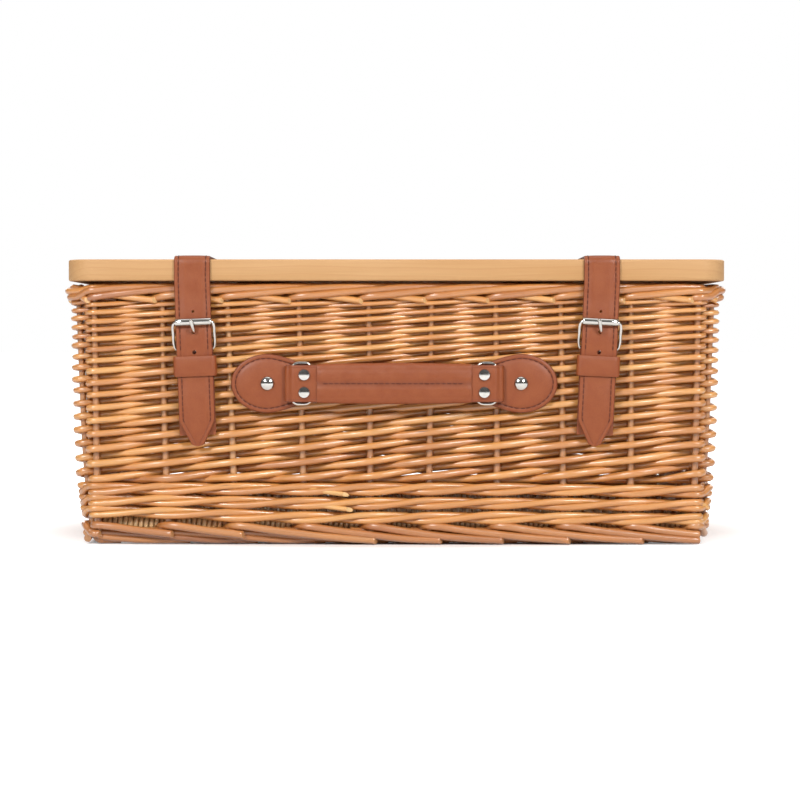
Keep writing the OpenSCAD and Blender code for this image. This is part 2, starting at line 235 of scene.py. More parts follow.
def ease(u):
    """The four weights of a Hermite curve at u: start, start's slope, end, end's slope."""
    return 2 * u ** 3 - 3 * u ** 2 + 1, u ** 3 - 2 * u ** 2 + u, 3 * u ** 2 - 2 * u ** 3, u ** 3 - u ** 2


def hermite(points, samples):
    """A smooth curve through points with chord-length tangents; samples per interval."""
    p = np.asarray(points, float)
    d = np.maximum(np.linalg.norm(np.diff(p, axis=0), axis=1), 1e-6)[:, None]
    slope = np.diff(p, axis=0) / d
    m = np.vstack([slope[:1], (slope[:-1] * d[1:] + slope[1:] * d[:-1]) / (d[1:] + d[:-1]), slope[-1:]])
    a, da, b, db = (w[:, None] for w in ease(np.arange(samples) / samples))
    spans = [a * p[i] + da * d[i] * m[i] + b * p[i + 1] + db * d[i] * m[i + 1] for i in range(len(p) - 1)]
    return np.concatenate(spans + [p[-1:]])


def arc(cx, cy, r, a0, a1, n=10):
    """n + 1 points round a centre, from a0 to a1 degrees."""
    angles = [math.radians(a0 + (a1 - a0) * i / n) for i in range(n + 1)]
    return [(cx + r * math.cos(a), cy + r * math.sin(a)) for a in angles]


def quads(rows, sides, around=False):
    """The faces between rows of points, each row closed on itself; around joins the last row to the first."""
    i, j = np.meshgrid(np.arange(rows if around else rows - 1), np.arange(sides), indexing="ij")
    i2, j2 = (i + 1) % rows, (j + 1) % sides
    corners = np.stack([i * sides + j, i * sides + j2, i2 * sides + j2, i2 * sides + j], -1)
    return [tuple(q) for q in corners.reshape(-1, 4).tolist()]


class Build:
    """Collects swept tubes and grids, in mm with the lid's middle at y = 0, as one mesh."""

    def __init__(self):
        self.v, self.rod, self.tint, self.cut = [], [], [], []
        self.f, self.m = [], []
        self.n = 0

    def add(self, verts, faces, tint=0.5, rod=None, cut=0.0, mat=0):
        verts = np.asarray(verts, float)
        k = len(verts)
        self.v.append(verts)
        self.rod.append(verts * MM if rod is None else np.asarray(rod, float))
        self.tint.append(np.broadcast_to(np.asarray(tint, float), (k,)).copy())
        self.cut.append(np.broadcast_to(np.asarray(cut, float), (k,)).copy())
        for face in faces:
            self.f.append(tuple(int(i) + self.n for i in face))
            self.m.append(mat)
        self.n += k

    def tube(self, pts, radii, sides=10, tint=0.5, cut=(True, True), seed=0.0, mat=0, up=(0, 0, 1),
             slant=None):
        """A rod along pts; the ends are rounded caps, or cut faces where cut says so.

        slant is a direction and an amount: the far end is cut on the skew and its face looks that way."""
        pts = np.asarray(pts, float)
        n = len(pts)
        radii = np.broadcast_to(np.asarray(radii, float), (n,))
        tan = travel(pts)
        a = np.asarray(up, float)
        if abs(tan[0] @ a) > 0.95:
            a = np.array([1.0, 0, 0])
        A = np.empty_like(pts)
        for i in range(n):
            a = a - tan[i] * (a @ tan[i])
            a /= np.linalg.norm(a)
            A[i] = a
        B = np.cross(tan, A)
        ang = np.arange(sides) * 2 * math.pi / sides
        ca, sa = np.cos(ang), np.sin(ang)
        ring = (pts[:, None, :] + radii[:, None, None]
                * (ca[None, :, None] * A[:, None, :] + sa[None, :, None] * B[:, None, :]))
        s = distance(pts) * MM + seed
        rod = np.empty((n, sides, 3))
        rod[:, :, 0] = s[:, None]
        rod[:, :, 1] = radii[:, None] * ca[None, :] * MM
        rod[:, :, 2] = radii[:, None] * sa[None, :] * MM

        def skew(loop):
            away = (loop - pts[-1]) @ np.asarray(slant[0], float)
            return loop - slant[1] * away[:, None] * tan[-1]

        if slant:
            ring[-1] = skew(ring[-1])
        verts, rod, cuts = [ring.reshape(-1, 3)], [rod.reshape(-1, 3)], [np.zeros(n * sides)]
        faces = quads(n, sides)
        count = n * sides
        for end in (0, 1):
            k = end * (n - 1)
            d = -tan[0] if end == 0 else tan[-1]
            prev = k * sides
            # the loops that lead to the middle of the end: their size, how far out they lie, and how raw
            loops = ((0.86, 0.11, 0.3), (0.80, 0.12, 1.0)) if cut[end] else ((0.80, 0.55, 0), (0.45, 0.88, 0))
            for scale, lift, c in loops:
                loop = pts[k] + radii[k] * (scale * (ca[:, None] * A[k] + sa[:, None] * B[k]) + lift * d)
                if slant and end == 1:
                    loop = skew(loop)
                verts.append(loop)
                r = np.empty((sides, 3))
                r[:, 0] = s[k]
                r[:, 1] = radii[k] * scale * ca * MM
                r[:, 2] = radii[k] * scale * sa * MM
                rod.append(r)
                cuts.append(np.full(sides, c))
                for t in range(sides):
                    u = (t + 1) % sides
                    quad = (prev + t, count + t, count + u, prev + u)
                    faces.append(quad[::-1] if end == 1 else quad)
                prev = count
                count += sides
            verts.append((pts[k] + d * radii[k] * (0.10 if cut[end] else 1.0))[None, :])
            rod.append(np.array([[s[k], 0, 0]]))
            cuts.append(np.array([1.0 if cut[end] else 0.0]))
            for t in range(sides):
                u = (t + 1) % sides
                tri = (prev + t, count, prev + u)
                faces.append(tri[::-1] if end == 1 else tri)
            count += 1
        self.add(np.concatenate(verts), faces, tint, np.concatenate(rod), np.concatenate(cuts), mat)

    def loop(self, pts, radius, sides=12):
        """A closed wire along pts."""
        pts = np.asarray(pts, float)
        normal = np.linalg.svd(pts - pts.mean(0))[2][2]
        A = np.broadcast_to(normal, pts.shape)
        B = np.cross(travel_round(pts), A)
        ang = np.arange(sides) * 2 * math.pi / sides
        ring = pts[:, None, :] + radius * (np.cos(ang)[None, :, None] * A[:, None, :]
                                           + np.sin(ang)[None, :, None] * B[:, None, :])
        self.add(ring.reshape(-1, 3), quads(len(pts), sides, around=True))

    def grid(self, P, cap=True, cut=0.0, flip=False):
        """A surface through the points P[i][j], closed round j, and capped at its two ends if cap says so."""
        P = np.asarray(P, float)
        n, m = P.shape[:2]
        faces = quads(n, m)
        if cap:
            faces.append(tuple(range(m))[::-1])
            faces.append(tuple((n - 1) * m + j for j in range(m)))
        if flip:
            faces = [f[::-1] for f in faces]
        cut = np.broadcast_to(np.asarray(cut, float), (n, m)).reshape(-1) if np.ndim(cut) else cut
        self.add(P.reshape(-1, 3), faces, cut=cut)

    def make(self, name, mats, body=None, smooth_angle=40, normals=False):
        me = bpy.data.meshes.new(name)
        v = np.concatenate(self.v)
        v = v + np.array([0, MID_Y, 0])
        me.from_pydata((v * MM).tolist(), [], self.f)
        me.polygons.foreach_set("material_index", self.m)
        for mat in mats:
            me.materials.append(mat)
        a = me.attributes.new("rod", "FLOAT_VECTOR", "POINT")
        a.data.foreach_set("vector", np.concatenate(self.rod).astype(np.float32).reshape(-1))
        a = me.attributes.new("tint", "FLOAT", "POINT")
        a.data.foreach_set("value", np.concatenate(self.tint).astype(np.float32))
        a = me.attributes.new("cut", "FLOAT", "POINT")
        a.data.foreach_set("value", np.concatenate(self.cut).astype(np.float32))
        a = me.attributes.new("rest", "FLOAT_VECTOR", "POINT")
        a.data.foreach_set("vector", (v * MM).astype(np.float32).reshape(-1))
        me.validate(clean_customdata=False)
        me.update()
        if normals:
            bm = bmesh.new()
            bm.from_mesh(me)
            bmesh.ops.recalc_face_normals(bm, faces=bm.faces)
            bm.to_mesh(me)
            bm.free()
        me.polygons.foreach_set("use_smooth", [True] * len(me.polygons))
        me.set_sharp_from_angle(angle=math.radians(smooth_angle))
        o = bpy.data.objects.new(name, me)
        scene.collection.objects.link(o)
        if body:
            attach(o, body)
        return o


# ---------------------------------------------------------------- materials
def srgb(r, g, b):
    f = lambda c: (c / 255 / 12.92) if c / 255 <= 0.04045 else ((c / 255 + 0.055) / 1.055) ** 2.4
    return (f(r), f(g), f(b), 1.0)


class Mat:
    """Small helper that writes a node material."""

    def __init__(self, name):
        self.m = bpy.data.materials.new(name)
        self.m.use_nodes = True
        self.t = self.m.node_tree
        self.p = self.t.nodes["Principled BSDF"]

    def n(self, kind, **kw):
        return node_new(self.t, kind, **kw)

    def link(self, a, b):
        self.t.links.new(a, b)

    def attr(self, name):
        return self.n("ShaderNodeAttribute", attribute_name=name)

    def mapping(self, vec, scale, loc=(0, 0, 0)):
        m = self.n("ShaderNodeMapping")
        m.inputs["Scale"].default_value = scale
        m.inputs["Location"].default_value = loc
        self.link(vec, m.inputs["Vector"])
        return m.outputs[0]

    def noise(self, vec, scale, detail=3.0, rough=0.55):
        x = self.n("ShaderNodeTexNoise")
        x.inputs["Scale"].default_value = scale
        x.inputs["Detail"].default_value = detail
        x.inputs["Roughness"].default_value = rough
        self.link(vec, x.inputs["Vector"])
        return x.outputs["Fac"]

    def ramp(self, fac, stops, interp="LINEAR"):
        r = self.n("ShaderNodeValToRGB")
        r.color_ramp.interpolation = interp
        el = r.color_ramp.elements
        el[0].position, el[0].color = stops[0]
        el[1].position, el[1].color = stops[-1]
        for pos, col in stops[1:-1]:
            e = el.new(pos)
            e.color = col
        self.link(fac, r.inputs["Fac"])
        return r.outputs["Color"]

    def mix(self, fac, a, b, kind="MIX"):
        x = self.n("ShaderNodeMix", data_type="RGBA", blend_type=kind)
        for sock, val in ((x.inputs["Factor"], fac), (x.inputs["A"], a), (x.inputs["B"], b)):
            if hasattr(val, "node"):
                self.link(val, sock)
            else:
                sock.default_value = val
        return x.outputs["Result"]

    def math(self, op, a, b=0.0, clamp=False):
        x = self.n("ShaderNodeMath", operation=op)
        x.use_clamp = clamp
        for sock, val in ((x.inputs[0], a), (x.inputs[1], b)):
            if hasattr(val, "node"):
                self.link(val, sock)
            else:
                sock.default_value = val
        return x.outputs[0]

    def add(self, a, b, clamp=False):
        return self.math("ADD", a, b, clamp)

    def sub(self, a, b):
        return self.math("SUBTRACT", a, b)

    def mul(self, a, b, clamp=False):
        return self.math("MULTIPLY", a, b, clamp)

    def remap(self, v, a, b, c, d):
        x = self.n("ShaderNodeMapRange")
        x.inputs["From Min"].default_value = a
        x.inputs["From Max"].default_value = b
        x.inputs["To Min"].default_value = c
        x.inputs["To Max"].default_value = d
        self.link(v, x.inputs["Value"])
        return x.outputs["Result"]

    def bump(self, h, strength, distance):
        b = self.n("ShaderNodeBump")
        b.inputs["Strength"].default_value = strength
        b.inputs["Distance"].default_value = distance
        self.link(h, b.inputs["Height"])
        self.link(b.outputs[0], self.p.inputs["Normal"])

    def set(self, **kw):
        for k, v in kw.items():
            self.p.inputs[k.replace("_", " ")].default_value = v


GREY = lambda v: (v, v, v, 1)


def willow_material(name, dark, mid, light, pale=0.6):
    """Peeled, buffed and varnished willow: tone per rod, streaks along it, knots, pale cut ends."""
    M = Mat(name)
    rod = M.attr("rod").outputs["Vector"]
    tint = M.attr("tint").outputs["Fac"]
    cut = M.attr("cut").outputs["Fac"]
    slow = M.noise(M.mapping(rod, (9, 40, 40)), 1.0, 3, 0.6)
    tone = M.add(tint, M.mul(M.sub(slow, 0.5), 0.7), clamp=True)
    base = M.ramp(tone, [(0.0, dark), (0.5, mid), (1.0, light)])
    streak = M.noise(M.mapping(rod, (45, 900, 900)), 1.0, 4, 0.65)
    s_col = M.ramp(streak, [(0.25, GREY(0.78)), (0.5, GREY(0.98)), (0.8, GREY(1.08))])
    base = M.mix(1.0, base, s_col, "MULTIPLY")
    # rosy patches where the bark dye stayed
    rosy = M.noise(M.mapping(rod, (16, 120, 120), (3.1, 0, 0)), 1.0, 2, 0.5)
    base = M.mix(M.remap(rosy, 0.60, 0.78, 0.0, 0.28), base, srgb(190, 104, 58))
    # small knots and bruises
    vor = M.n("ShaderNodeTexVoronoi", feature="F1")
    vor.inputs["Scale"].default_value = 1.0
    M.link(M.mapping(rod, (24, 260, 260)), vor.inputs["Vector"])
    knot = M.remap(vor.outputs["Distance"], 0.05, 0.14, 1.0, 0.0)
    pick = M.noise(M.mapping(rod, (14, 60, 60), (7, 2, 1)), 1.0, 1, 0.5)
    knot = M.mul(knot, M.remap(pick, 0.52, 0.60, 0.0, 0.75), clamp=True)
    base = M.mix(knot, base, srgb(96, 52, 26))
    pith = M.noise(M.mapping(rod, (1, 1600, 1600)), 1.0, 2, 0.5)
    end = M.mix(M.remap(pith, 0.35, 0.65, 0.0, 0.5), srgb(240, 208, 150), srgb(196, 148, 92))
    base = M.mix(M.mul(cut, pale), base, end)
    M.link(base, M.p.inputs["Base Color"])
    rough = M.remap(M.noise(M.mapping(rod, (60, 500, 500)), 1.0, 2, 0.5), 0.3, 0.7, 0.30, 0.46)
    M.link(M.add(rough, M.mul(cut, 0.3)), M.p.inputs["Roughness"])
    M.set(Coat_Weight=1.0, Coat_Roughness=0.28, Coat_IOR=1.65, Specular_IOR_Level=0.7)
    M.bump(M.sub(streak, M.mul(knot, 1.5)), 0.35, 0.0004)
    return M.m


WILLOW = willow_material("willow", srgb(167, 96, 43), srgb(212, 143, 70), srgb(228, 175, 101))
WILLOW_UP = willow_material("willow_uprights", srgb(158, 96, 47), srgb(190, 128, 72), srgb(210, 156, 100))
WILLOW_FOOT = willow_material("willow_foot", srgb(152, 88, 39), srgb(190, 121, 61), srgb(206, 148, 85), 0.2)
# painted light: the base's willow takes much lighter colours than the wall's, to make up for the shade the
# wale and foot cast on it
WILLOW_BASE_BRIGHTENED = willow_material("willow_base", srgb(176, 124, 70), srgb(226, 174, 112), srgb(242, 204, 148))


PLANK = 0.067                                         # m; the width of the lid's glued planks


def pine_material():
    """Oiled pine: planks of their own tone, growth rings drawn out along the lid, a few knots."""
    M = Mat("pine")
    rest = M.attr("rest").outputs["Vector"]
    sep = M.n("ShaderNodeSeparateXYZ")
    M.link(rest, sep.inputs[0])
    across = M.math("DIVIDE", M.add(sep.outputs["Y"], 1.0), PLANK)
    plank = M.math("FLOOR", across)
    wn = M.n("ShaderNodeTexWhiteNoise", noise_dimensions="1D")
    M.link(plank, wn.inputs["W"])
    shift = M.n("ShaderNodeCombineXYZ")
    M.link(M.mul(wn.outputs["Value"], 3.0), shift.inputs["X"])
    M.link(M.mul(wn.outputs["Value"], 1.3), shift.inputs["Z"])
    add = M.n("ShaderNodeVectorMath", operation="ADD")
    M.link(rest, add.inputs[0])
    M.link(shift.outputs[0], add.inputs[1])
    vec = add.outputs[0]
    # growth rings drawn out along X
    warp = M.noise(M.mapping(vec, (2.2, 9, 9)), 1.0, 3, 0.5)
    ring = M.add(M.mul(sep.outputs["Z"], 170.0), M.mul(warp, 9.0))
    ring = M.add(ring, M.mul(sep.outputs["Y"], 62.0))
    band = M.math("FRACT", M.add(ring, M.mul(wn.outputs["Value"], 9.0)))
    late = M.ramp(band, [(0.0, GREY(0.0)), (0.72, GREY(0.35)), (0.90, GREY(1.0)), (1.0, GREY(0.0))], "EASE")
    fine = M.noise(M.mapping(vec, (14, 900, 700)), 1.0, 4, 0.65)
    slow = M.noise(M.mapping(vec, (5, 30, 30)), 1.0, 3, 0.5)
    base = M.mix(M.remap(slow, 0.3, 0.7, 0.0, 1.0), srgb(200, 157, 109), srgb(189, 142, 90))
    base = M.mix(M.mul(late, 0.2), base, srgb(171, 113, 60))
    base = M.mix(M.remap(fine, 0.35, 0.75, 0.0, 0.22), base, srgb(167, 118, 71))
    base = M.mix(M.mul(M.sub(wn.outputs["Value"], 0.2), 0.30, clamp=True), base, srgb(182, 128, 75))
    # a few knots
    total = None
    for (kx, ky, kz, kr) in ((-0.172, -0.161, 0.1950, 0.0016), (0.086, -0.161, 0.1905, 0.0012),
                             (-0.06, 0.045, 0.199, 0.006), (0.15, -0.03, 0.199, 0.0045),
                             (-0.20, 0.12, 0.199, 0.005), (0.03, 0.13, 0.199, 0.0035)):
        sub = M.n("ShaderNodeVectorMath", operation="SUBTRACT")
        M.link(rest, sub.inputs[0])
        sub.inputs[1].default_value = (kx, ky + MID_Y * MM, kz)
        sc = M.mapping(sub.outputs[0], (0.55 / kr, 1 / kr, 0.3 / kr))
        ln = M.n("ShaderNodeVectorMath", operation="LENGTH")
        M.link(sc, ln.inputs[0])
        k = M.remap(ln.outputs["Value"], 0.5, 1.6, 0.8, 0.0)
        total = k if total is None else M.math("MAXIMUM", total, k)
    base = M.mix(M.mul(total, 0.8, clamp=True), base, srgb(118, 64, 29))
    # the glue lines between the planks
    line = M.remap(M.math("ABSOLUTE", M.sub(M.math("FRACT", across), 0.5)), 0.493, 0.499, 0.0, 0.45)
    base = M.mix(line, base, srgb(133, 85, 46))
    M.link(base, M.p.inputs["Base Color"])
    M.link(M.remap(fine, 0.3, 0.7, 0.50, 0.62), M.p.inputs["Roughness"])
    M.set(Coat_Weight=0.06, Coat_Roughness=0.45, Specular_IOR_Level=0.35)
    M.bump(M.add(fine, M.mul(late, 0.4)), 0.25, 0.0003)
    return M.m


PINE = pine_material()


def leather_material(name, base_col, dark_col, light_col):
    """Smooth pigmented leather: pebble grain, soft mottling, darker edges where cut marks them; the same
    darkening is painted shade in the stitch grooves and seams it also marks.
    """
    M = Mat(name)
    rest = M.attr("rest").outputs["Vector"]
    cut = M.attr("cut").outputs["Fac"]
    mottle = M.noise(rest, 120, 4, 0.6)
    base = M.mix(M.remap(mottle, 0.35, 0.65, 0.0, 1.0), base_col, light_col)
    fine = M.noise(rest, 1400, 3, 0.6)
    base = M.mix(M.remap(fine, 0.40, 0.75, 0.0, 0.35), base, dark_col)
    # the cut attribute darkens: the cut edges' own colour, and painted shade in the stitch grooves, the
    # handle end's crease and the grip's seam
    base = M.mix(cut, base, srgb(98, 44, 24))
    M.link(base, M.p.inputs["Base Color"])
    vor = M.n("ShaderNodeTexVoronoi", feature="DISTANCE_TO_EDGE")
    vor.inputs["Scale"].default_value = 1500
    M.link(rest, vor.inputs["Vector"])
    grain = M.math("MINIMUM", M.mul(vor.outputs["Distance"], 4.0), 1.0)
    grain = M.add(grain, M.mul(M.noise(rest, 500, 3, 0.5), 1.2))
    M.link(M.remap(mottle, 0.3, 0.7, 0.39, 0.51), M.p.inputs["Roughness"])
    M.set(Specular_IOR_Level=0.45, Coat_Weight=0.1, Coat_Roughness=0.36)
    M.bump(grain, 0.22, 0.00012)
    return M.m


LEATHER = leather_material("leather", srgb(138, 66, 25), srgb(120, 52, 18), srgb(145, 73, 31))


def thread_material():
    M = Mat("thread")
    M.set(Roughness=0.75)
    fibre = M.remap(M.noise(M.attr("rest").outputs["Vector"], 2500, 2, 0.5), 0.3, 0.7, 0.0, 1.0)
    M.link(M.mix(fibre, srgb(78, 34, 20), srgb(104, 50, 30)), M.p.inputs["Base Color"])
    return M.m


THREAD = thread_material()


def metal_material(name, col, rough, bump):
    M = Mat(name)
    tc = M.n("ShaderNodeTexCoord").outputs["Object"]
    a = M.noise(tc, 260, 4, 0.6)
    b = M.noise(M.mapping(tc, (900, 900, 120)), 1.0, 2, 0.5)
    dull = tuple(c * 0.86 for c in col[:3]) + (1,)
    M.link(M.mix(M.remap(a, 0.35, 0.7, 0.0, 1.0), col, dull), M.p.inputs["Base Color"])
    M.link(M.remap(b, 0.3, 0.7, rough * 0.8, rough * 1.5), M.p.inputs["Roughness"])
    M.set(Metallic=1.0)
    M.bump(M.add(a, M.mul(b, 0.4)), bump, 0.0002)
    return M.m


NICKEL = metal_material("nickel", (0.64, 0.62, 0.58, 1), 0.11, 0.12)
STEEL = metal_material("zinc_steel", (0.58, 0.58, 0.57, 1), 0.30, 0.15)

floor_m = Mat("floor")
fl_tc = floor_m.n("ShaderNodeTexCoord").outputs["Object"]
# white to the eye, greyer as a source of light
fl_path = floor_m.n("ShaderNodeLightPath").outputs
fl_col = floor_m.mix(floor_m.noise(fl_tc, 3, 2, 0.5), (0.93, 0.93, 0.93, 1), (0.95, 0.95, 0.95, 1))
fl_col = floor_m.mix(fl_path["Is Diffuse Ray"], fl_col, (0.55, 0.55, 0.55, 1))
floor_m.link(fl_col, floor_m.p.inputs["Base Color"])
floor_m.set(Roughness=0.9, Specular_IOR_Level=0.1, Emission_Color=(1, 1, 1, 1))
far = floor_m.n("ShaderNodeVectorMath", operation="LENGTH")       # a soft glow away from the object
floor_m.link(floor_m.mapping(fl_tc, (1.0, 1.3, 1.0)), far.inputs[0])
glow = floor_m.remap(far.outputs["Value"], 0.225, 0.36, 0.0, 0.8)
floor_m.link(floor_m.mul(glow, fl_path["Is Camera Ray"]), floor_m.p.inputs["Emission Strength"])
fm = bpy.data.meshes.new("floor")
FLOOR, FLOOR_Z = 30, -0.0003                          # m; half its width, and how far below the feet it lies
fm.from_pydata([(x * FLOOR, y * FLOOR, FLOOR_Z) for x, y in ((-1, -1), (1, -1), (1, 1), (-1, 1))],
               [], [(0, 1, 2, 3)])
fm.materials.append(floor_m.m)
floor = bpy.data.objects.new("floor", fm)
scene.collection.objects.link(floor)


# ---------------------------------------------------------------- the willow work
rng = random.Random(4711)
BAY = FRONT_SPAN / 9
END_X, END_SPAN = STAKE_X + 1.2, SIDE_SPAN + 15.0     # the end walls' uprights
# the uprights, anticlockwise from the front left corner post, seen from above
stakes = []
for i in range(10):
    stakes.append((-FRONT_SPAN / 2 + i * BAY, -STAKE_Y))
for i in range(7):
    stakes.append((END_X, -END_SPAN / 2 + i * END_SPAN / 6))
for i in range(10):
    stakes.append((FRONT_SPAN / 2 - i * BAY, STAKE_Y))
for i in range(7):
    stakes.append((-END_X, END_SPAN / 2 - i * END_SPAN / 6))
N = len(stakes)
XY = np.array(stakes)
CORNER = {0, 9, 10, 16, 17, 26, 27, 33}
chord = np.roll(XY, -1, 0) - XY                       # from each upright to the next
chord /= np.linalg.norm(chord, axis=1)[:, None]
TAN = chord + np.roll(chord, 1, 0)
TAN /= np.linalg.norm(TAN, axis=1)[:, None]
drift = np.zeros((N, 2))                              # each upright's place along the wall: foot, top
for j in range(N):
    reach = 0.5 if j in CORNER else 2.4
    drift[j] = rng.uniform(-reach, reach), rng.uniform(-reach, reach)
drift[1], drift[2], drift[3], drift[4] = (2.5, 0.5), (3.0, -1.0), (5.0, 2.0), (5.0, 4.0)
TURN = 4.5                                            # mm either side of an upright in which a rod turns
SHARP = 1.3                                           # the same at the corners


FLARE = 5.5                                   # the ends of the basket spread this much towards the top
TUCK = 2.8                                            # and draw in this much more at the foot
RIGHT_IN = 1.6                                        # the right end stands in this much all the way up


def stake_at(j, z):
    j %= N
    t = (z - 20) / 150
    p = XY[j] + TAN[j] * (drift[j][0] * (1 - t) + drift[j][1] * t)
    spread = FLARE * (t - 0.5) - TUCK * max(0.0, 1 - t / 0.45) ** 2 - (RIGHT_IN if p[0] > 0 else 0.0)
    p[0] *= 1 + spread * (1.0 if abs(p[0]) > STAKE_X - 2 else 0.3) / STAKE_X
    return p


def stake_r(z):
    return 2.55 - 0.5 * (z - 15) / 155


def outward(j, z):
    """The outward normal of the stretch of wall from upright j to the next."""
    d = stake_at(j + 1, z) - stake_at(j, z)
    d /= np.linalg.norm(d)
    return np.array([d[1], -d[0]])


def at(t, off, z):
    """A point off mm outside the line of uprights, t counted in uprights, z up."""
    j = math.floor(t)
    f = t - j
    a, b = stake_at(j, z), stake_at(j + 1, z)
    length = np.linalg.norm(b - a)
    n = outward(j, z)
    before, after = f * length, (1 - f) * length
    turn = SHARP if (j + (f > 0.5)) % N in CORNER else TURN
    if before < turn:
        n = n * (0.5 + 0.5 * before / turn) + outward(j - 1, z) * (0.5 - 0.5 * before / turn)
    elif after < turn:
        n = n * (0.5 + 0.5 * after / turn) + outward(j + 1, z) * (0.5 - 0.5 * after / turn)
    n /= n @ n                                # mitred, so that the rod keeps its distance round a corner
    p = a * (1 - f) + b * f + n * off
    return (p[0], p[1], z)


ROUTE_STEP = 0.11                             # the samples along a rod, in uprights


def route(t0, profile):
    """A rod's line round the wall: profile holds (uprights from t0, mm outside their line, height)."""
    prof = np.asarray(profile, float)
    T = prof[:, 0]
    slope = np.diff(prof[:, 1:], axis=0) / np.diff(T)[:, None]
    w = np.diff(T)
    m = np.empty((len(T), 2))
    m[0], m[-1] = slope[0], slope[-1]
    for i in range(1, len(T) - 1):
        m[i] = (slope[i - 1] * w[i] + slope[i] * w[i - 1]) / (w[i] + w[i - 1])
    ts = list(np.arange(T[0], T[-1] - 0.02, ROUTE_STEP)) + [T[-1]]
    for c in range(math.ceil(T[0] + t0), math.floor(T[-1] + t0) + 1):    # the corners get their own points
        if c % N in CORNER:
            ts = [t for t in ts if abs(t + t0 - c) > 0.12]
            for side in (-1, 1):
                bay = np.linalg.norm(stake_at(c + side, 100) - stake_at(c, 100))
                ts += [c - t0 + side * 0.2 / bay, c - t0 + side * SHARP / bay, c - t0 + side * 0.13]
    ts = sorted(t for t in ts if T[0] <= t <= T[-1])
    pts = []
    for t in ts:
        i = min(max(int(np.searchsorted(T, t, "right")) - 1, 0), len(T) - 2)
        u = (t - T[i]) / w[i]
        a, da, b, db = ease(u)
        off, z = a * prof[i, 1:] + da * w[i] * m[i] + b * prof[i + 1, 1:] + db * w[i] * m[i + 1]
        pts.append(at(t0 + t, off, z))
    return np.array(pts), np.array(ts)


def face(t, z=100.0):
    """The way a skew cut looks: outward and a little along the wall."""
    n = outward(math.floor(t), z)
    along, up = 0.6, 0.15
    v = np.array([n[0] - along * n[1], n[1] + along * n[0], up])
    return v / np.linalg.norm(v)


def tone(spread=0.12, middle=0.5):
    return min(0.95, max(0.05, rng.gauss(middle, spread)))


# uprights
B = Build()
for j in range(N):
    bow = rng.uniform(-0.5, 0.5)
    pts = []
    for z in np.linspace(9, 172, 14):
        x, y = stake_at(j, z) + TAN[j] * math.sin(math.pi * (z - 9) / 162) * bow
        pts.append((x, y, z))
    pts = hermite(pts, 2)
    B.tube(pts, [stake_r(p[2]) for p in pts], 12, tone(0.15), seed=rng.uniform(0, 90))
uprights = B.make("uprights", [WILLOW_UP], "basket")
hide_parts("stakes", "corner_posts")

# French randing: one rod from each upright, over one and behind one, half a pitch up each time
PITCH_LOW, PITCH_TOP, STEPS = 10.8, 5.3, 30
RAND_Z = 47.6


def rand_z(k, j=4):
    """The height of a rod after k uprights, at upright j; round the corners it hardly climbs."""
    k = max(k, -1)
    first, count = next((a, b) for a, b in ((27, 7), (17, 10), (10, 7), (0, 10)) if j % N >= a)
    step = PITCH_LOW - (PITCH_LOW - PITCH_TOP) * k / STEPS
    level = ((j % N - first) / (count - 1) - 0.5) * 0.34 * step
    return RAND_Z + 0.5 * (PITCH_LOW * k - (PITCH_LOW - PITCH_TOP) * k * k / (2 * STEPS)) + level


B = Build()
for i in range(N):
    thick = rng.uniform(0.94, 1.07)
    wander = rng.uniform(-0.2, 0.2)
    last = STEPS + rng.choice((1, 1, 2))
    r = thick * 2.72
    prof = [(-1.4, -(2.6 + r), RAND_Z - 3.6), (-0.97, -(2.6 + r), RAND_Z - 3.2),
            (-0.5, -(1.2 + r), RAND_Z - 2.5)]
    rad = [(-1.4, r * 0.85), (0, r)]
    for k in range(last + 1):
        z = rand_z(k, i + k)
        r = thick * (2.72 - 1.0 * k / STEPS)
        side = 1 if k % 2 == 0 else -1
        off = side * (stake_r(z) + r * 0.94 + rng.uniform(-0.1, 0.25))
        prof.append((k, off, z + rng.uniform(-0.4, 0.4) + wander))
        rad.append((k, r))
    pts, ts = route(i, prof)
    radii = np.interp(ts, [q[0] for q in rad], [q[1] for q in rad])
    wob = 0.03 * np.sin(ts * 2.9 + i) + 0.03 * np.sin(ts * 0.9 + 2 * i)
    B.tube(pts, radii * (1 + wob), 10, tone(0.13), seed=rng.uniform(0, 90))
wall = B.make("woven_wall", [WILLOW], "basket", 60)
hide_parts("wall_weave")

def settle(p, left, right):
    """How much a rod on the front wall lies higher or lower than level, given its amounts at the two ends."""
    if p[1] > -130:
        return 0.0
    u = min(1.0, max(0.0, (abs(p[0]) - 40) / 165))
    return (left if p[0] < 0 else right) * u * u * (3 - 2 * u)


# the three-rod wale: over two, behind one, three rows
B = Build()
WALE_Z, ROW = 14.4, 10.0
for row in range(3):
    start = (21, 23, 19)[row]
    for m in range(3):
        r = rng.uniform(2.35, 2.5)
        prof = []
        for q in range(N + rng.choice((0, 1))):
            ph = q % 3
            off = (1, 1, -1)[ph] * (2.5 + r * (1.02 if ph != 1 else 1.12)) + rng.uniform(-0.15, 0.2)
            z = WALE_Z + row * ROW + (1.95, 6.3, 4.35)[ph] + rng.uniform(-0.3, 0.3)
            prof.append((q, off, z))
        pts, ts = route(start + m, prof)
        for q in pts:
            q[2] += settle(q, (4.4, 2.4, 0.2)[row], (-1.0, -1.2, -1.4)[row])
        B.tube(pts, r * (1 + 0.03 * np.sin(ts * 1.4 + m)), 10, tone(0.12), seed=rng.uniform(0, 90))
# pale tips where a new wale rod begins
for (t, z) in ((3.62, 35.2), (3.68, 24.6), (9.6, 24.9), (14.5, 35), (22.4, 25), (30.4, 35)):
    pts, ts = route(t, [(-0.8, 0.5, z + 3.4), (-0.45, 5.6, z + 2.6), (-0.12, 8.0, z + 0.7), (0.0, 8.3, z)])
    B.tube(pts, np.linspace(2.0, 1.6, len(pts)), 12, 0.9, seed=rng.uniform(0, 90), slant=(face(t), 2.2))
wale = B.make("wale", [WILLOW], "basket", 60)
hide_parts("bottom_wale")

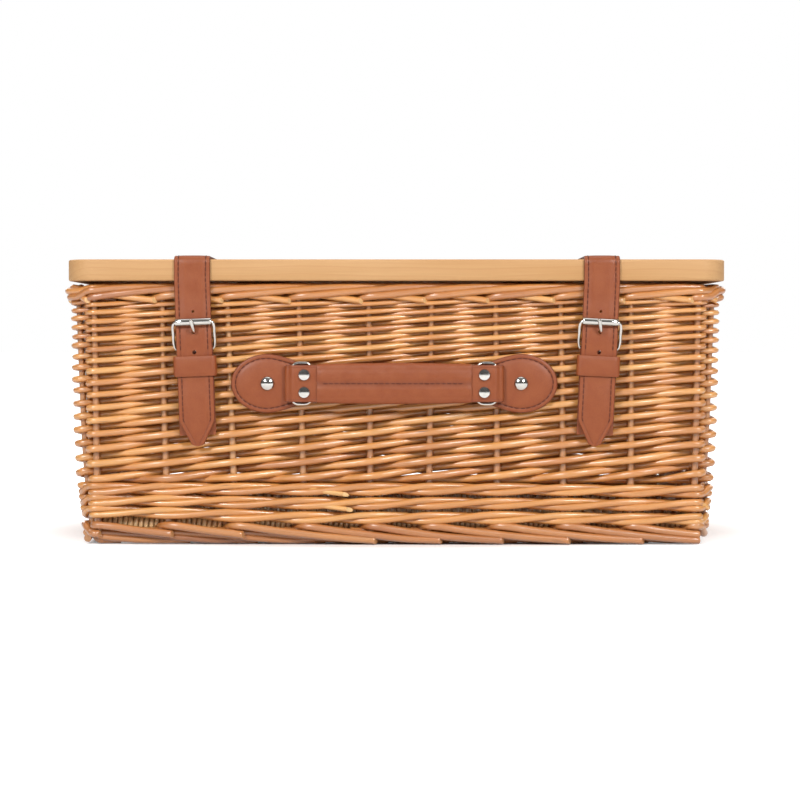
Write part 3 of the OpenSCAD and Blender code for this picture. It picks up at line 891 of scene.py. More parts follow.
# the border under the lid: each rod comes out left of its upright, climbs over two bays and turns in
B = Build()
for j in range(N):
    r = rng.uniform(2.55, 2.8)
    top = LID_Z - 1.3 - r
    dz = rng.uniform(-0.3, 0.3)
    prof = [(-0.42, -4.5, 169.0), (-0.2, -1.0, 171.5), (-0.06, 4.2, 172.9), (0.3, 6.2, 174.6 + dz),
            (1.0, 6.5, 177.9 + dz), (1.6, 5.2, top - 0.4), (2.2, 2.4, top), (3.0, -1.5, top - 0.2),
            (3.8, -5.2, 178.6), (4.7, -6.6, 174.4), (5.3, -6.8, 171.4)]
    pts, ts = route(j, prof)
    pts[:, 2] = np.minimum(pts[:, 2], top)
    for i, t in enumerate(ts):
        near = min(abs((j + t - c + N / 2) % N - N / 2) for c in (-0.5, 9.5, 16.5, 26.5))
        pts[i, 2] -= 2.0 * math.exp(-(near / 0.45) ** 2)      # the border sags a little at the corners
    # painted shade: the border rods' tone is centred low, at 0.24, darker than the wall's, to offset the top
    # lamp on their upward faces
    B.tube(pts, np.interp(ts, [-0.5, 5.3], [r, r * 0.84]), 12, tone(0.12, 0.24), seed=rng.uniform(0, 90))
    # the cut tip that comes out to the front just before the upright
    r = rng.uniform(2.05, 2.3)
    q = rng.uniform(-0.14, -0.07)
    prof = [(-1.25, -3.5, 178.0), (-0.85, 1.0, 175.2), (-0.5, 4.6, 172.9), (q, 6.2, 170.4 + dz)]
    pts, ts = route(j, prof)
    # painted shade as well: the tips' tone is held at 0.5 to 0.72 for the same lamp
    B.tube(pts, np.interp(ts, [-1.25, q], [r * 1.08, r]), 12, rng.uniform(0.5, 0.72), seed=rng.uniform(0, 90),
           slant=(face(j - 0.1, 170), rng.uniform(0.5, 1.0)))
border = B.make("top_rim", [WILLOW], "basket", 60)
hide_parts("top_border")

# the foot border: each rod turns out under the wale and runs down to the right
B = Build()
for j in range(N):
    r = rng.uniform(2.6, 2.8)
    dz = rng.uniform(-0.25, 0.25)
    end = {0: 1.02, 1: 1.13}.get(j, 2.13) + rng.uniform(-0.1, 0.1)
    if j not in (0, 10, 17, 27):                      # a rod does not run round a corner
        end = min(end, next(c for c in (9, 10, 16, 17, 26, 27, 33, 34) if c > j) - j + 0.06)
    prof = [(-0.16, -5.0, 11.5), (-0.10, -1.0, 12.3), (-0.03, 4.0, 12.9), (0.12, 5.6, 12.4 + dz),
            (0.5, 5.5, 9.8 + dz), (1.0, 5.3, 6.9 + dz), (1.6, 5.2, 4.2 + dz), (2.4, 4.9, 2.8)]
    prof = [q for q in prof if q[0] < end - 0.2] + [(end, 5.0, max(2.8, 12.1 - 5.0 * end))]
    pts, ts = route(j, prof)
    for q in pts:
        q[2] = max(q[2] + settle(q, 0.4, 0.0), r + 0.05)
    B.tube(pts, r, 12, tone(0.12), seed=rng.uniform(0, 90), slant=(face(j + end, 3), 0.5))
    # what lies inside it and carries the weight
    prof = [(-0.3, -1.0, 9.5), (0.3, -0.6, 7.5), (1.0, -0.8, 5.0), (1.7, -1.2, 2.6), (2.3, -5.0, 2.6)]
    pts, ts = route(j, prof)
    pts[:, 2] = np.maximum(pts[:, 2], 2.55)
    B.tube(pts, 2.4, 8, tone(0.12, 0.4), seed=rng.uniform(0, 90))
foot = B.make("foot_rim", [WILLOW_FOOT], "basket", 60)
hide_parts("foot_border")

# the base: nine sticks along it and thin weavers that turn round the outer ones
B = Build()
BZ, BASE_X, WEAVE_X = 14.0, 212.0, 209.0              # the base's height and where it ends
STICK_Y, STICK_R = 145.5, 2.9                         # the outer sticks, just inside the uprights
stick_y = [(-1 + i / 4) * STICK_Y for i in range(9)]
for y in stick_y:
    ctrl = [(-BASE_X, y, BZ), (-70, y + rng.uniform(-1, 1), BZ + 0.3),
            (70, y + rng.uniform(-1, 1), BZ), (BASE_X, y, BZ)]
    B.tube(hermite(ctrl, 8), STICK_R, 10, rng.uniform(0.2, 0.6), seed=rng.uniform(0, 90))
sticks = B.make("base_bars", [WILLOW_BASE_BRIGHTENED], "basket", 60)
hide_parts("base_sticks")
B = Build()
pitch, x = 3.7, -WEAVE_X
w = 0
ctrl = []
shade = 0.5
while x < WEAVE_X:
    order = range(9) if w % 2 == 0 else range(8, -1, -1)
    if not ctrl:
        shade = rng.uniform(0.35, 0.95)
        rw = rng.uniform(1.6, 1.78)
    for s in order:
        up = 1 if (s + w) % 2 == 0 else -1
        ctrl.append((x + rng.uniform(-0.25, 0.25), stick_y[s], BZ + up * (2.8 + rw)))
    sgn = 1 if w % 2 == 0 else -1
    up = 1 if ((8 if w % 2 == 0 else 0) + w) % 2 == 0 else -1
    wrap = STICK_R + rw
    for m in range(1, 9):                             # once more round the outer stick
        a = math.radians(90 - 60 * m)
        ctrl.append((x + pitch * (0.5 + 1.5 * (m / 9 - 0.5)), sgn * (STICK_Y + wrap * math.cos(a)),
                     BZ + up * wrap * math.sin(a)))
    w += 1
    x += pitch
    if w % 7 == 0 or x >= WEAVE_X:
        pts = hermite(ctrl, 4)
        B.tube(pts, rw, 7, shade, seed=rng.uniform(0, 90))
        ctrl = []
weavers = B.make("base_weavers", [WILLOW_BASE_BRIGHTENED], "basket", 60)
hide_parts("base_weave")


# ---------------------------------------------------------------- the lid
def round_rect(hx, hy, r, n=10):
    """A rectangle's outline with round corners, anticlockwise from its lower right one."""
    corners = ((hx - r, -hy + r, -90), (hx - r, hy - r, 0), (-hx + r, hy - r, 90), (-hx + r, -hy + r, 180))
    return [p for cx, cy, a0 in corners for p in arc(cx, cy, r, a0, a0 + 90, n)]


def slab(B, hx, hy, r, z0, z1, edge, cx=0.0, n=10, soft=5):
    """A board from z0 to z1 with rounded corners and rounded edges."""
    turn = [math.pi / 2 * i / soft for i in range(soft + 1)]
    levels = [(edge * (1 - math.sin(a)), z0 + edge * (1 - math.cos(a))) for a in turn]
    levels += [(edge * (1 - math.cos(a)), z1 - edge * (1 - math.sin(a))) for a in turn]
    B.grid([[(cx + x, y, z) for x, y in round_rect(hx - d, hy - d, max(r - d, 0.3), n)] for d, z in levels])


LID_CORNER, LID_EDGE = 18.0, 1.3
BATTEN_HALF, BATTEN_CORNER, BATTEN_EDGE = 18.0, 2.0, 1.2
B = Build()
slab(B, LID_W / 2, LID_D / 2, LID_CORNER, LID_Z, LID_TOP, LID_EDGE, n=14)
board = B.make("lid_panel", [PINE], "lid", 35)
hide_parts("lid_board")
bat_lo, bat_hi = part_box("lid_battens")
B = Build()
for s in (-1, 1):
    slab(B, BATTEN_HALF, (bat_hi[1] - bat_lo[1]) / 2 / MM, BATTEN_CORNER, bat_lo[2] / MM, LID_Z, BATTEN_EDGE,
         cx=s * (bat_hi[0] / MM - BATTEN_HALF), n=3, soft=3)
battens = B.make("lid_bars", [PINE], "lid", 35)
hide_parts("lid_battens")


# ---------------------------------------------------------------- leather
GROOVE = 3.0                                          # from a strap's edge to its stitch line
STITCH, STITCH_PITCH = 2.7, 3.9
THREAD_R = 0.34


def lean_point(s, x, y, z):
    """The hanging part of strap s leans about the lid's lower front edge."""
    c, sn = math.cos(LEAN[s]), math.sin(LEAN[s])
    dz = z - LID_Z
    return (MID_X[s] + x * c - dz * sn, y, LID_Z + x * sn + dz * c)


def profile(hw, t, crown, dip):
    """Cross-section of a strap hw wide each way: (across, height) points, clockwise from its top left."""
    e = min(t / 2, hw * 0.9, 0.9)
    g = hw - GROOVE
    if g > 1.5:
        half = [(g * 0.5, t / 2 + crown), (g - 0.7, t / 2 + crown * 0.5), (g, t / 2 - dip),
                (g + 0.7, t / 2 + 0.02), (hw - e, t / 2)]
        top = [(-x, h) for x, h in half[::-1]] + [(0, t / 2 + crown)] + half
    else:
        top = [(-hw + e + (2 * (hw - e)) * i / 10, t / 2) for i in range(11)]
    turn = (0.5, 1.05, 1.57)
    right = [(hw - e + e * math.sin(a), t / 2 - e + e * math.cos(a)) for a in turn] + [(hw, 0.0)]
    right += [(hw - e + e * math.sin(a), -t / 2 + e - e * math.cos(a)) for a in turn[::-1]]
    under = [(hw - e - (2 * (hw - e)) * i / 6, -t / 2) for i in range(7)]
    return top + right + under + [(-x, h) for x, h in right[::-1]]


def edge_and_groove_dark(x, h, hw, t):
    """How dark the leather is drawn: fully on its cut edge, a little in the stitch groove, which is painted
    shade in that recess.
    """
    if abs(h) < t * 0.42 and abs(x) > hw - 0.6:
        return 1.0
    return 0.35 if h > 0 and abs(abs(x) - (hw - GROOVE)) < 0.1 else 0.0


def stitches(B, start, end, thread, keep=lambda row: True):
    """A row of stitches; thread(u, f) is where the thread lies u mm along the row and f along its stitch."""
    u = start
    while u + STITCH < end:
        row = [thread(u + STITCH * f, f) for f in np.linspace(0, 1, 6)]
        if keep(row):
            B.tube(row, THREAD_R, 6, cut=(False, False), mat=1)
        u += STITCH_PITCH


def strap_mesh(B, line, half_w, t, place, side=1, crown=0.25, dip=0.22, stitch=True):
    """Sweeps a strap along (y, z) points; side is +1 when the finished face is on the left of travel."""
    line = np.asarray(line, float)
    s = distance(line)
    nor = left_of(travel(line)) * side
    rows, cuts = [], []
    for p, out, along in zip(line, nor, s):
        hw = max(half_w(along, s[-1]), 0.35)
        section = profile(hw, t, crown, dip)
        rows.append([place(x, p[0] + out[0] * h, p[1] + out[1] * h) for x, h in section])
        cuts.append([edge_and_groove_dark(x, h, hw, t) for x, h in section])
    B.grid(rows, cut=np.array(cuts), flip=side < 0)
    if not stitch:
        return

    def surface(q, x, h):
        y, z = (np.interp(q, s, line[:, i]) + np.interp(q, s, nor[:, i]) * h for i in (0, 1))
        return place(x, y, z)

    for edge in (-1, 1):                              # a stitch line follows the outline, tip included
        pts = []
        for q in np.arange(0, s[-1], 0.4):
            hw = half_w(q, s[-1])
            slope = math.atan2(max(0.0, hw - half_w(min(q + 0.5, s[-1]), s[-1])), 0.5)
            across = hw - GROOVE * math.cos(slope)
            if across < 0.0:
                break
            pts.append((q - GROOVE * math.sin(slope), edge * across))
        P, L = resample(pts, 0.5)
        stitches(B, 0.0, L[-1], lambda u, f: surface(
            np.interp(u, L, P[:, 0]), np.interp(u, L, P[:, 1]), t / 2 - 0.28 + 0.42 * math.sin(math.pi * f)))


def punch(o, centres, r):
    """Cuts round holes from front to back through a piece."""
    reach, sides = 15.0, 20
    for x0, y, z0 in centres:
        rim = arc(x0, z0, r, 0, 360, sides)[:-1]
        C = Build()
        C.grid([[(x, y - reach, z) for x, z in rim], [(x, y + reach, z) for x, z in rim]])
        cutter = C.make("cutter", [THREAD], None, normals=True)
        hole = o.modifiers.new("hole", "BOOLEAN")
        hole.operation = "DIFFERENCE"
        hole.object = cutter
        hole.solver = "EXACT"
        bpy.context.view_layer.update()
        me = bpy.data.meshes.new_from_object(o.evaluated_get(bpy.context.evaluated_depsgraph_get()))
        o.modifiers.clear()
        old = o.data
        o.data = me
        bpy.data.meshes.remove(old)
        bpy.data.objects.remove(cutter)
    o.data.set_sharp_from_angle(angle=math.radians(40))


# the lengths every strap follows, the same left and right: over the lid from its middle, then down
HW = STRAP_W / 2
EDGE_R = 3.3
TOP_Z = LID_TOP + STRAP_T / 2
over_lid = np.array([(y, TOP_Z) for y in np.arange(0, LID_D / 2 - 4, 6.0)]
                    + arc(LID_D / 2 - 2, LID_TOP - 2, EDGE_R, 90, 0))
TIP_Z = 69.0                                          # the tip's height, and its shape
TAPER, TIP_ROUND, TIP_HALF = 18.6, 0.86, 0.402
hang = hermite([(-LEATHER_Y, LID_TOP - 2.5), (-LEATHER_Y, LID_Z + 6), (-LEATHER_Y - 0.2, LID_Z),
                (FRONT_Y - 5.2, 172), (FRONT_Y - 5.9, 162), (FRONT_Y - 6.1, ROLLER_Z), (FRONT_Y - 6.9, 148),
                (FRONT_Y - 7.1, 141), (FRONT_Y - 6.8, BAR_Z), (FRONT_Y - 5.9, 130), (FRONT_Y - 5.7, 122),
                (FRONT_Y - 5.8, 113), (FRONT_Y - 6.3, 103), (FRONT_Y - 6.1, 88), (FRONT_Y - 5.6, 78),
                (FRONT_Y - 5.0, TIP_Z)], 8)
front_line = np.vstack([over_lid * (-1, 1), hang[1:]])
END = distance(front_line)[-1]
CROWD = 6.0                                           # samples crowd into the last stretch, for a smooth tip
front_line = sample(front_line, np.concatenate(
    [np.arange(0, END - CROWD, 1.6), END - CROWD * (1 - np.linspace(0, 1, 14)) ** 2]))
WALL_Y = STAKE_Y + 7.5 + 0.3 + STRAP_T / 2            # a back strap lies on the crests of the weave
hang = hermite([(LEATHER_Y, LID_TOP - 2.5), (LEATHER_Y, LID_Z + 4), (LEATHER_Y, LID_Z - 8),
                (WALL_Y + 1.2, LID_Z - 20), (WALL_Y, LID_Z - 30), (WALL_Y, 120), (WALL_Y, 82)], 8)
back_line = resample(np.vstack([over_lid, hang[1:]]), 2.0)[0]
BACK_CORNER, CORNER_IN = 5.0, 4.0
HOLE_PITCH = 14.2


def front_half(a, length):
    """Half the width a mm along the front strap: it tapers to a rounded tip."""
    u = (a - (length - TAPER)) / TAPER
    if u <= 0:
        return HW
    if u < TIP_ROUND:
        return HW * (1 - 0.76 * u * u / (u + 0.08))
    return HW * TIP_HALF * math.sqrt(max(0.0, 1 - ((min(u, 1.0) - TIP_ROUND) / (1 - TIP_ROUND)) ** 2))


def back_half(a, length):
    """Half the width a mm along the back strap, whose end has round corners."""
    u = (a - (length - BACK_CORNER)) / BACK_CORNER
    return HW if u <= 0 else HW - CORNER_IN * (1 - math.sqrt(max(0.0, 1 - min(u, 1) ** 2)))


def front_strap(s, side):
    """Over the lid's edge, down through buckle and keeper, to the tip; the tongue bends at the lid's edge."""
    B = Build()
    strap_mesh(B, front_line, front_half, STRAP_T,
               lambda x, y, z: lean_point(s, x, y, z) if z < LID_Z else (MID_X[s] + x, y, z), side=-1)
    o = B.make("strap_front_" + side, [LEATHER, THREAD], None, 45)
    punch(o, [lean_point(s, 0, FRONT_Y - 6, HOLE_Z + HOLE_PITCH)], 0.95)
    punch(o, [lean_point(s, 0, FRONT_Y - 6, HOLE_Z - i * HOLE_PITCH) for i in (0, 1, 2)], 1.4)
    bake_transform(o)
    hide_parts("strap_tongue_" + side, "lid_strap_" + side)


def back_strap(s, side):
    """Over the lid's rear edge and down the wall: the lid's hinge."""
    B = Build()
    strap_mesh(B, back_line, back_half, STRAP_T, lambda x, y, z: (MID_X[s] + x, y, z))
    o = B.make("strap_back_" + side, [LEATHER, THREAD], None, 45)
    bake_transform(o)
    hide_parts("back_strap_" + side)


# the short strap behind, turned round the buckle's bar
BACK_LAYER, FRONT_LAYER, BAR_TURN = FRONT_Y - 2.3, FRONT_Y - 3.55, 1.8
holder_line, _ = resample(np.array(
    [(BACK_LAYER, 76.5), (BACK_LAYER, 100), (BACK_LAYER, 118), (BACK_LAYER, BAR_Z - 7)]
    + arc(BAR_Y, BAR_Z, BAR_TURN, -20, 200, 16)
    + [(FRONT_LAYER, BAR_Z - 7), (FRONT_LAYER, 120), (FRONT_LAYER, 113)]), 1.0)


def buckle_holder(s, side):
    B = Build()
    strap_mesh(B, holder_line, lambda a, length: HW + 0.3, 1.2, lambda x, y, z: lean_point(s, x, y, z),
               crown=0.0, dip=0.05, stitch=False)
    o = B.make("buckle_holder_" + side, [LEATHER, THREAD], "basket", 45)
    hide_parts("buckle_strap_" + side)


# the keeper, a closed loop round both
KEEPER_Z, KEEPER_HALF = 124.6, 7.1
KEEPER_IN, KEEPER_OUT = FRONT_Y - 0.2 - 0.65, FRONT_Y - 8.9 + 0.65
keeper_ring = np.array(round_rect(HW + 1.8, (KEEPER_IN - KEEPER_OUT) / 2, 2.0, 6))
keeper_ring[:, 1] += (KEEPER_IN + KEEPER_OUT) / 2
keeper_ring = resample(np.vstack([keeper_ring, keeper_ring[:1]]), 0.9)[0][:-1]


def keeper_section(bulge):
    """The band's (height, outward) points, from its lower inner edge over its face and back behind."""
    half = [(3, 0.74 + bulge), (KEEPER_HALF - 2.2, 0.7 + bulge * 0.5), (KEEPER_HALF - 0.6, 0.62),
            (KEEPER_HALF, 0.3), (KEEPER_HALF, -0.45)]
    return ([(-z, h) for z, h in half[::-1]] + [(0, 0.76 + bulge)] + half
            + [(KEEPER_HALF - 0.3, -0.6), (-KEEPER_HALF + 0.3, -0.6)])


def keeper(s, side):
    out = -left_of(travel_round(keeper_ring))
    rows = []
    for p, r in zip(np.vstack([keeper_ring, keeper_ring[:1]]), np.vstack([out, out[:1]])):
        in_front = p[1] < FRONT_Y - 6 and abs(p[0]) < HW - 1
        rows.append([lean_point(s, p[0] + r[0] * h, p[1] + r[1] * h, KEEPER_Z + z)
                     for z, h in keeper_section(0.35 if in_front else 0.0)])
    B = Build()
    B.grid(rows, cap=False)
    o = B.make("keeper_loop_" + side, [LEATHER, THREAD], "basket", 45, normals=True)
    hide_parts("keeper_" + side)


# ---------------------------------------------------------------- the buckles
FRAME_R, ROLLER_R, ROLLER_BORE, EYE_R, PRONG_R = 1.05, 2.62, 1.75, 2.05, 0.95
up = np.array([ROLLER_Y - BAR_Y, ROLLER_Z - BAR_Z])
H = np.linalg.norm(up)                                # from the lower bar to the roller
up /= H
frame_side = hermite([(12.2, H), (13.6, H - 0.9), (14.2, H - 2.8), (14.3, H * 0.55), (14.1, 4.2), (13.3, 1.4),
                      (11.2, 0.1), (8, 0)], 5)
frame_wire, _ = resample(np.vstack([[(-12.2, H)], frame_side, frame_side[::-1] * (-1, 1)]), 1.0)
roller_sheet = arc(0, 0, ROLLER_R, -118, 222, 33) + arc(0, 0, ROLLER_BORE, 224, -120, 33)
# a prong's eye round the bar, then its wire behind the strap, through the hole and over the roller
prong_line = arc(BAR_Y, BAR_Z, EYE_R, -250, 60, 21)[:-2] + list(hermite(
    [(FRONT_Y - 3.7, BAR_Z + 4.0), (FRONT_Y - 4.0, BAR_Z + 8.5), (FRONT_Y - 5.0, HOLE_Z - 0.9),
     (FRONT_Y - 7.6, HOLE_Z - 0.2), (FRONT_Y - 10.8, HOLE_Z + 0.4), (FRONT_Y - 13.0, HOLE_Z + 3.4),
     (FRONT_Y - 14.2, ROLLER_Z - 0.6), (FRONT_Y - 14.9, HOLE_Z + 8.0)], 6))
prong_r = np.concatenate([np.full(len(prong_line) - 22, PRONG_R), np.linspace(PRONG_R, 1.3, 12),
                          np.linspace(1.3, 1.1, 10)])


def buckle(s, side):
    """The frame's wire, its rolled roller and its prong, each on a body of its own."""
    B = Build()
    B.loop([lean_point(s, x, BAR_Y + up[0] * q, BAR_Z + up[1] * q) for x, q in frame_wire[:-1]], FRAME_R, 14)
    o = B.make("frame_" + side, [NICKEL], "buckle_" + side, 60, normals=True)
    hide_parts("buckle_frame_" + side)

    ends = ((-12.4, 0.93), (-12.1, 1.0), (-6, 1.0), (0, 1.0), (6, 1.0), (12.1, 1.0), (12.4, 0.93))
    B = Build()
    B.grid([[lean_point(s, x, ROLLER_Y + a * k, ROLLER_Z + b * k) for a, b in roller_sheet] for x, k in ends])
    o = B.make("roller_" + side, [NICKEL], "roller_" + side, 35, normals=True)
    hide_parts("buckle_roller_" + side)

    pts = [lean_point(s, 0.9 - 2.4 * min(1, max(0, (z - HOLE_Z + 1) / 10)), y, z) for y, z in prong_line]
    B = Build()
    B.tube(pts, prong_r, 12, cut=(False, False), up=(1, 0, 0))
    o = B.make("prong_" + side + "_wire", [NICKEL], "prong_" + side, 60)
    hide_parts("buckle_prong_" + side)


for s, side in SIDES:
    front_strap(s, side)
    back_strap(s, side)
    buckle_holder(s, side)
    keeper(s, side)
    buckle(s, side)


# ---------------------------------------------------------------- the handle
TAB_BACK = FRONT_Y - 0.5                              # the tab's thickness lies between these
TAB_FACE = TAB_BACK - 2.4
TAB_LONG, TAB_TALL, NECK = 25.5, 20.6, 11.5


def tab_outline():
    """The tab seen from the front, right side: half an ellipse round the screw, drawn in to a neck."""
    pts = [(SCREW_X + TAB_LONG * math.cos(math.radians(a)), TAB_TALL * math.sin(math.radians(a)))
           for a in np.arange(-90, 91, 6)]
    upper = [(SCREW_X - (SCREW_X - INNER_X - 2) * u, TAB_TALL - (TAB_TALL - NECK) * u ** 1.6)
             for u in (k / 14 for k in range(1, 15))]
    pts += upper
    pts += [(INNER_X + 1, z) for z in np.linspace(NECK, -NECK, 9)[1:-1]]
    pts += [(x, -z) for x, z in upper[::-1]]
    return resample(np.array(pts + pts[:1]), 1.6)[0][:-1]


def inset(P, d):
    """An outline drawn in by d."""
    return P + left_of(travel_round(P)) * d


def handle_point(s, x, y, z):
    return (HANDLE_X + s * x, y, HANDLE_Z + z)


def band(B, s, line, out, section):
    """Carries a section's (height, outward) points along a line in plan."""
    B.grid([[handle_point(s, p[0] + n[0] * h, p[1] + n[1] * h, z) for z, h in section]
            for p, n in zip(line, out)])


def tab(s, side):
    """The leather tab on the wall, its face domed, with a loop for the ring."""
    P = tab_outline()
    B = Build()
    rows, cuts = [], []
    # each row: inset, depth and how dark the leather is drawn; dark on the cut edge for its own colour, and
    # painted shade in the stitch groove at insets 2.75 to 3.45
    for d, y, c in ((0.5, TAB_BACK, 0), (0.0, TAB_BACK - 0.5, 0.8), (0.0, TAB_BACK - 1.2, 0.8),
                    (0.12, TAB_FACE + 0.5, 0.6), (0.7, TAB_FACE, 0.15), (2.2, TAB_FACE - 0.05, 0),
                    (2.75, TAB_FACE + 0.06, 0.3), (3.1, TAB_FACE + 0.25, 0.5), (3.45, TAB_FACE + 0.06, 0.3),
                    (4.2, TAB_FACE - 0.30, 0), (6.5, TAB_FACE - 0.75, 0)):
        rows.append([handle_point(s, x, y, z) for x, z in inset(P, d)])
        cuts.append([c] * len(P))
    Q = inset(P, 6.5)
    spine = np.stack([np.clip(Q[:, 0], 66.0, 96.0), np.zeros(len(Q))], 1)
    for f, lift in ((0.3, 1.15), (0.6, 1.35), (0.97, 1.4)):
        rows.append([handle_point(s, x, TAB_FACE - lift, z) for x, z in Q * (1 - f) + spine * f])
        cuts.append([0] * len(Q))
    B.grid(rows, cut=np.array(cuts), flip=s > 0)
    # the loop that holds the ring
    loop = [(INNER_X + 10, TAB_FACE - 0.2), (INNER_X + 4, INNER_Y - 2.1)]
    loop += [(INNER_X + 2.2 * math.cos(a), INNER_Y + 2.6 * math.sin(a))
             for a in np.radians(np.linspace(-90, -270, 14))]
    loop, _ = resample(np.array(loop + [(INNER_X + 10, TAB_BACK - 0.8)]), 0.7)
    half = [(5, 0.62), (10.4, 0.6), (11.0, 0.4), (11.2, 0.0), (11.0, -0.4), (10.4, -0.6)]
    section = [(-z, h) for z, h in half[-2::-1]] + [(0, 0.62)] + half + [(0, -0.6), (-10.4, -0.6)]
    band(B, s, loop, -left_of(travel(loop)), section)
    # stitches round the edge, up to the loop
    edge = inset(P, 3.1)
    S, L = resample(np.vstack([edge, edge[:1]]), 0.5)
    stitches(B, 0.0, L[-1], lambda u, f: handle_point(
        s, np.interp(u, L, S[:, 0]), TAB_FACE + 0.30 - 0.42 * math.sin(math.pi * f),
        np.interp(u, L, S[:, 1])),
        keep=lambda row: np.mean([abs(r[0] - HANDLE_X) for r in row]) > INNER_X + 6)
    o = B.make("tab_" + side, [LEATHER, THREAD], "basket", 45, normals=True)
    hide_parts("handle_tab_" + side)


RING_MID, RING_HALF, RING_TALL, RING_CORNER, RING_R = 7.0, 7.0, 14.25, 4.8, 1.2


def ring(s, side):
    """The wire ring between tab and handle, turned out a little from the wall."""
    ux, uy = math.cos(RING_TILT), -math.sin(RING_TILT)
    R = round_rect(RING_HALF, RING_TALL, RING_CORNER, 7)
    R, _ = resample(np.array(R + R[:1]), 1.2)
    B = Build()
    B.loop([handle_point(s, INNER_X + ux * (x + RING_MID), INNER_Y + uy * (x + RING_MID), z)
            for x, z in R[:-1]],
           RING_R, 12)
    o = B.make("ring_wire_" + side, [NICKEL], "ring_" + side, 60, normals=True)
    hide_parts("handle_ring_" + side)


END_HALF, LAYER, FOLD_R = 12.9, 0.72, 2.05


def handle_end(s, side):
    """The end of the handle's strap, folded round the ring's free bar and riveted through both layers."""
    line = [(50, SHEET_Y + LAYER), (66, SHEET_Y + LAYER), (70.2, OUTER_Y - 1.0)]
    line += arc(OUTER_X, OUTER_Y, FOLD_R, 150, -95, 19)[3:]
    line += [(70.5, SHEET_Y - 0.85), (64, SHEET_Y - LAYER), (50, SHEET_Y - LAYER)]
    line, _ = resample(np.array(line), 0.8)
    # (height, outward, darkening): dark on the cut edge for its own colour, and painted shade in the crease
    # 1.9 mm in from it
    half = [(5, 0.76, 0), (END_HALF - 2.3, 0.72, 0), (END_HALF - 1.9, 0.60, 0.45), (END_HALF - 1.5, 0.72, 0),
            (END_HALF - 0.5, 0.66, 0.3), (END_HALF, 0.3, 0.8), (END_HALF, -0.3, 0.8)]
    section = [(-z, h, c) for z, h, c in half[::-1]] + [(0, 0.78, 0)] + half
    section += [(END_HALF - 0.5, -0.66, 0), (0, -0.66, 0), (-END_HALF + 0.5, -0.66, 0)]
    rows = []
    for p, n in zip(line, left_of(travel(line))):
        in_ring = math.hypot(p[0] - OUTER_X, p[1] - OUTER_Y) < 2.6
        rows.append([handle_point(s, p[0] + n[0] * h, p[1] + n[1] * h, z * (0.985 if in_ring else 1.0))
                     for z, h, c in section])
    B = Build()
    B.grid(rows, cut=np.array([[c for z, h, c in section]] * len(line)))
    o = B.make("handle_end_" + side, [LEATHER, THREAD], "handle_" + side, 45, normals=True)
    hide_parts("handle_strap_" + side)


for s, side in SIDES:
    tab(s, side)
    ring(s, side)
    handle_end(s, side)

# the padded grip, one piece that bows in its middle
GRIP_HALF, AROUND, SEAM_END = 53.6, 56, 49.0
rows, cuts = [], []
grip_places = [np.linspace(-GRIP_HALF, -50, 5), np.linspace(-47, 47, 55), np.linspace(50, GRIP_HALF, 5)]
for x in np.concatenate(grip_places):
    u = abs(x) / GRIP_HALF
    full = max(0.0, 1 - ((u - 0.90) / 0.10)) if u > 0.90 else 1.0
    swell = 0.78 + 0.22 * math.sqrt(full)
    tall = 13.4 + 0.9 * math.cos(u * math.pi / 2) ** 0.6
    row, seam_shade = [], []
    for i in range(AROUND):
        a = 2 * math.pi * i / AROUND
        front = math.sin(a) > 0
        z = math.copysign(abs(math.cos(a)) ** 0.72, math.cos(a)) * tall
        y = (abs(math.sin(a)) ** 0.55) * 4.0 * swell
        if front:                                     # the groove of the seam, and the edge of the padding
            y = 1.25 * math.exp(-(z / 1.1) ** 2) + 0.25 * math.exp(-((abs(z) - 9.6) / 0.8) ** 2) - y
        wave = 0.10 * math.sin(x * 0.35 + z * 0.4) + 0.08 * math.sin(x * 0.9 - z)
        row.append((HANDLE_X + x, SHEET_Y + y + (wave if y < -2 else 0), HANDLE_Z + z))
        # painted shade: the leather is drawn darker along the seam's groove
        seam_shade.append(0.40 if front and abs(z) < 0.8 else 0.0)
    rows.append(row)
    cuts.append(seam_shade)
B = Build()
B.grid(rows, cut=np.array(cuts))
stitches(B, -SEAM_END, SEAM_END + 0.5, lambda u, f: (
    HANDLE_X + u, SHEET_Y - 2.72 - 0.35 * math.sin(math.pi * f), HANDLE_Z))
grip = B.make("grip_pad", [LEATHER, THREAD], None, 50, normals=True)
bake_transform(grip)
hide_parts("handle_grip_left", "handle_grip_right")


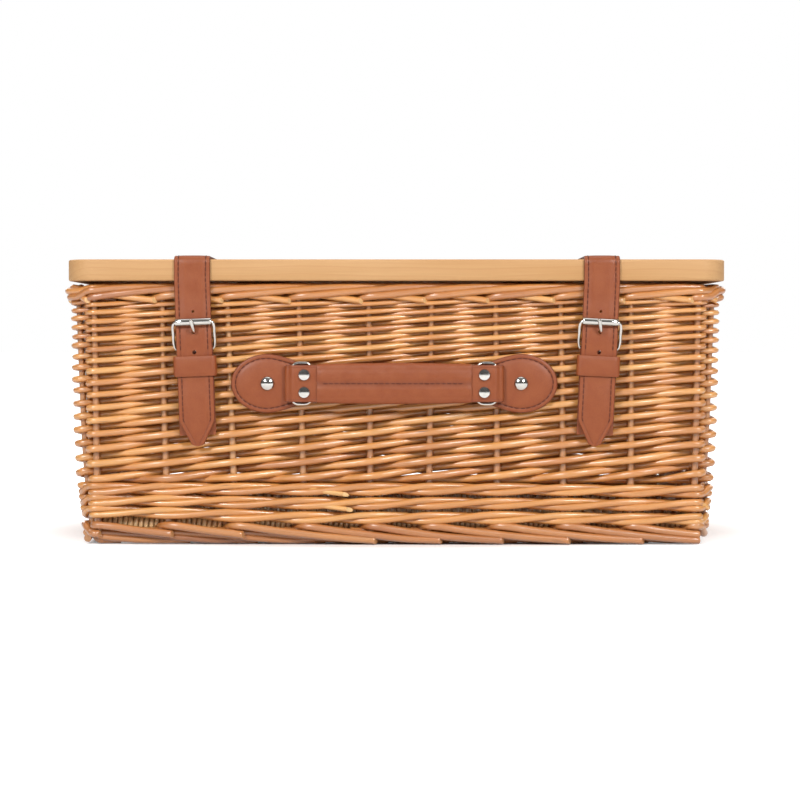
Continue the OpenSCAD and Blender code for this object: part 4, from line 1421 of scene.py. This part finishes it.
# ---------------------------------------------------------------- caps of the handle's screws and rivets
def cap(B, x, y, z, r, h, shoulder, shank):
    """A round cap seen from the front, its shank going back into what it holds."""
    stem = 1.5
    rows = [[(x, y + shank, z)] * 24]
    for rr, back in ((stem, shank), (stem, 0.3), (r * 0.97, 0.3), (r, -h * 0.15), (r * 0.985, -h * 0.35),
                     (r * 0.9, -h * shoulder), (r * 0.7, -h * (0.55 * shoulder + 0.43)),
                     (r * 0.42, -h * 0.95), (r * 0.18, -h * 0.995), (0.0, -h)):
        rows.append([(x + rr * math.cos(t), y + back, z + rr * math.sin(t))
                     for t in np.linspace(0, 2 * math.pi, 24, False)])
    B.grid(rows, cap=False, flip=True)


def caps(name, body, node, r, h, shoulder, shank):
    """Replaces a node of round heads, two to a node, each as deep into the piece as the frame's own."""
    lo, hi = (np.array(c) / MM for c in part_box(node))
    lo[1] -= MID_Y
    wide = hi[0] - lo[0] > hi[2] - lo[2]
    half = (hi[2] - lo[2] if wide else hi[0] - lo[0]) / 2
    B = Build()
    for e in (0, 1):
        x = (lo[0] + half if e == 0 else hi[0] - half) if wide else (lo[0] + hi[0]) / 2
        z = (lo[2] + hi[2]) / 2 if wide else (lo[2] + half if e == 0 else hi[2] - half)
        cap(B, x, lo[1] + h - 0.2, z, r, h, shoulder, shank)
    o = B.make(name, [NICKEL], body, 50, normals=True)
    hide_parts(node)


caps("tab_screw_heads", "basket", "handle_screws", 5.0, 3.4, 0.62, 12.0)
for s, side in SIDES:
    caps("rivet_caps_" + side, "handle_" + side, "handle_rivets_" + side, 4.15, 1.9, 0.8, 2.6)


# ---------------------------------------------------------------- the CAD's own metal pieces
for name, node in NODES.items():
    if "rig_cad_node" not in node:
        continue
    if name in ("lid_strap_screws", "back_strap_rivets", "buckle_strap_rivets"):
        mat = NICKEL
    elif name in ("batten_screws", "rivet_washers", "handle_nuts"):
        mat = STEEL
    else:
        continue
    node.data.materials.clear()
    node.data.materials.append(mat)
    node.data.polygons.foreach_set("use_smooth", [True] * len(node.data.polygons))
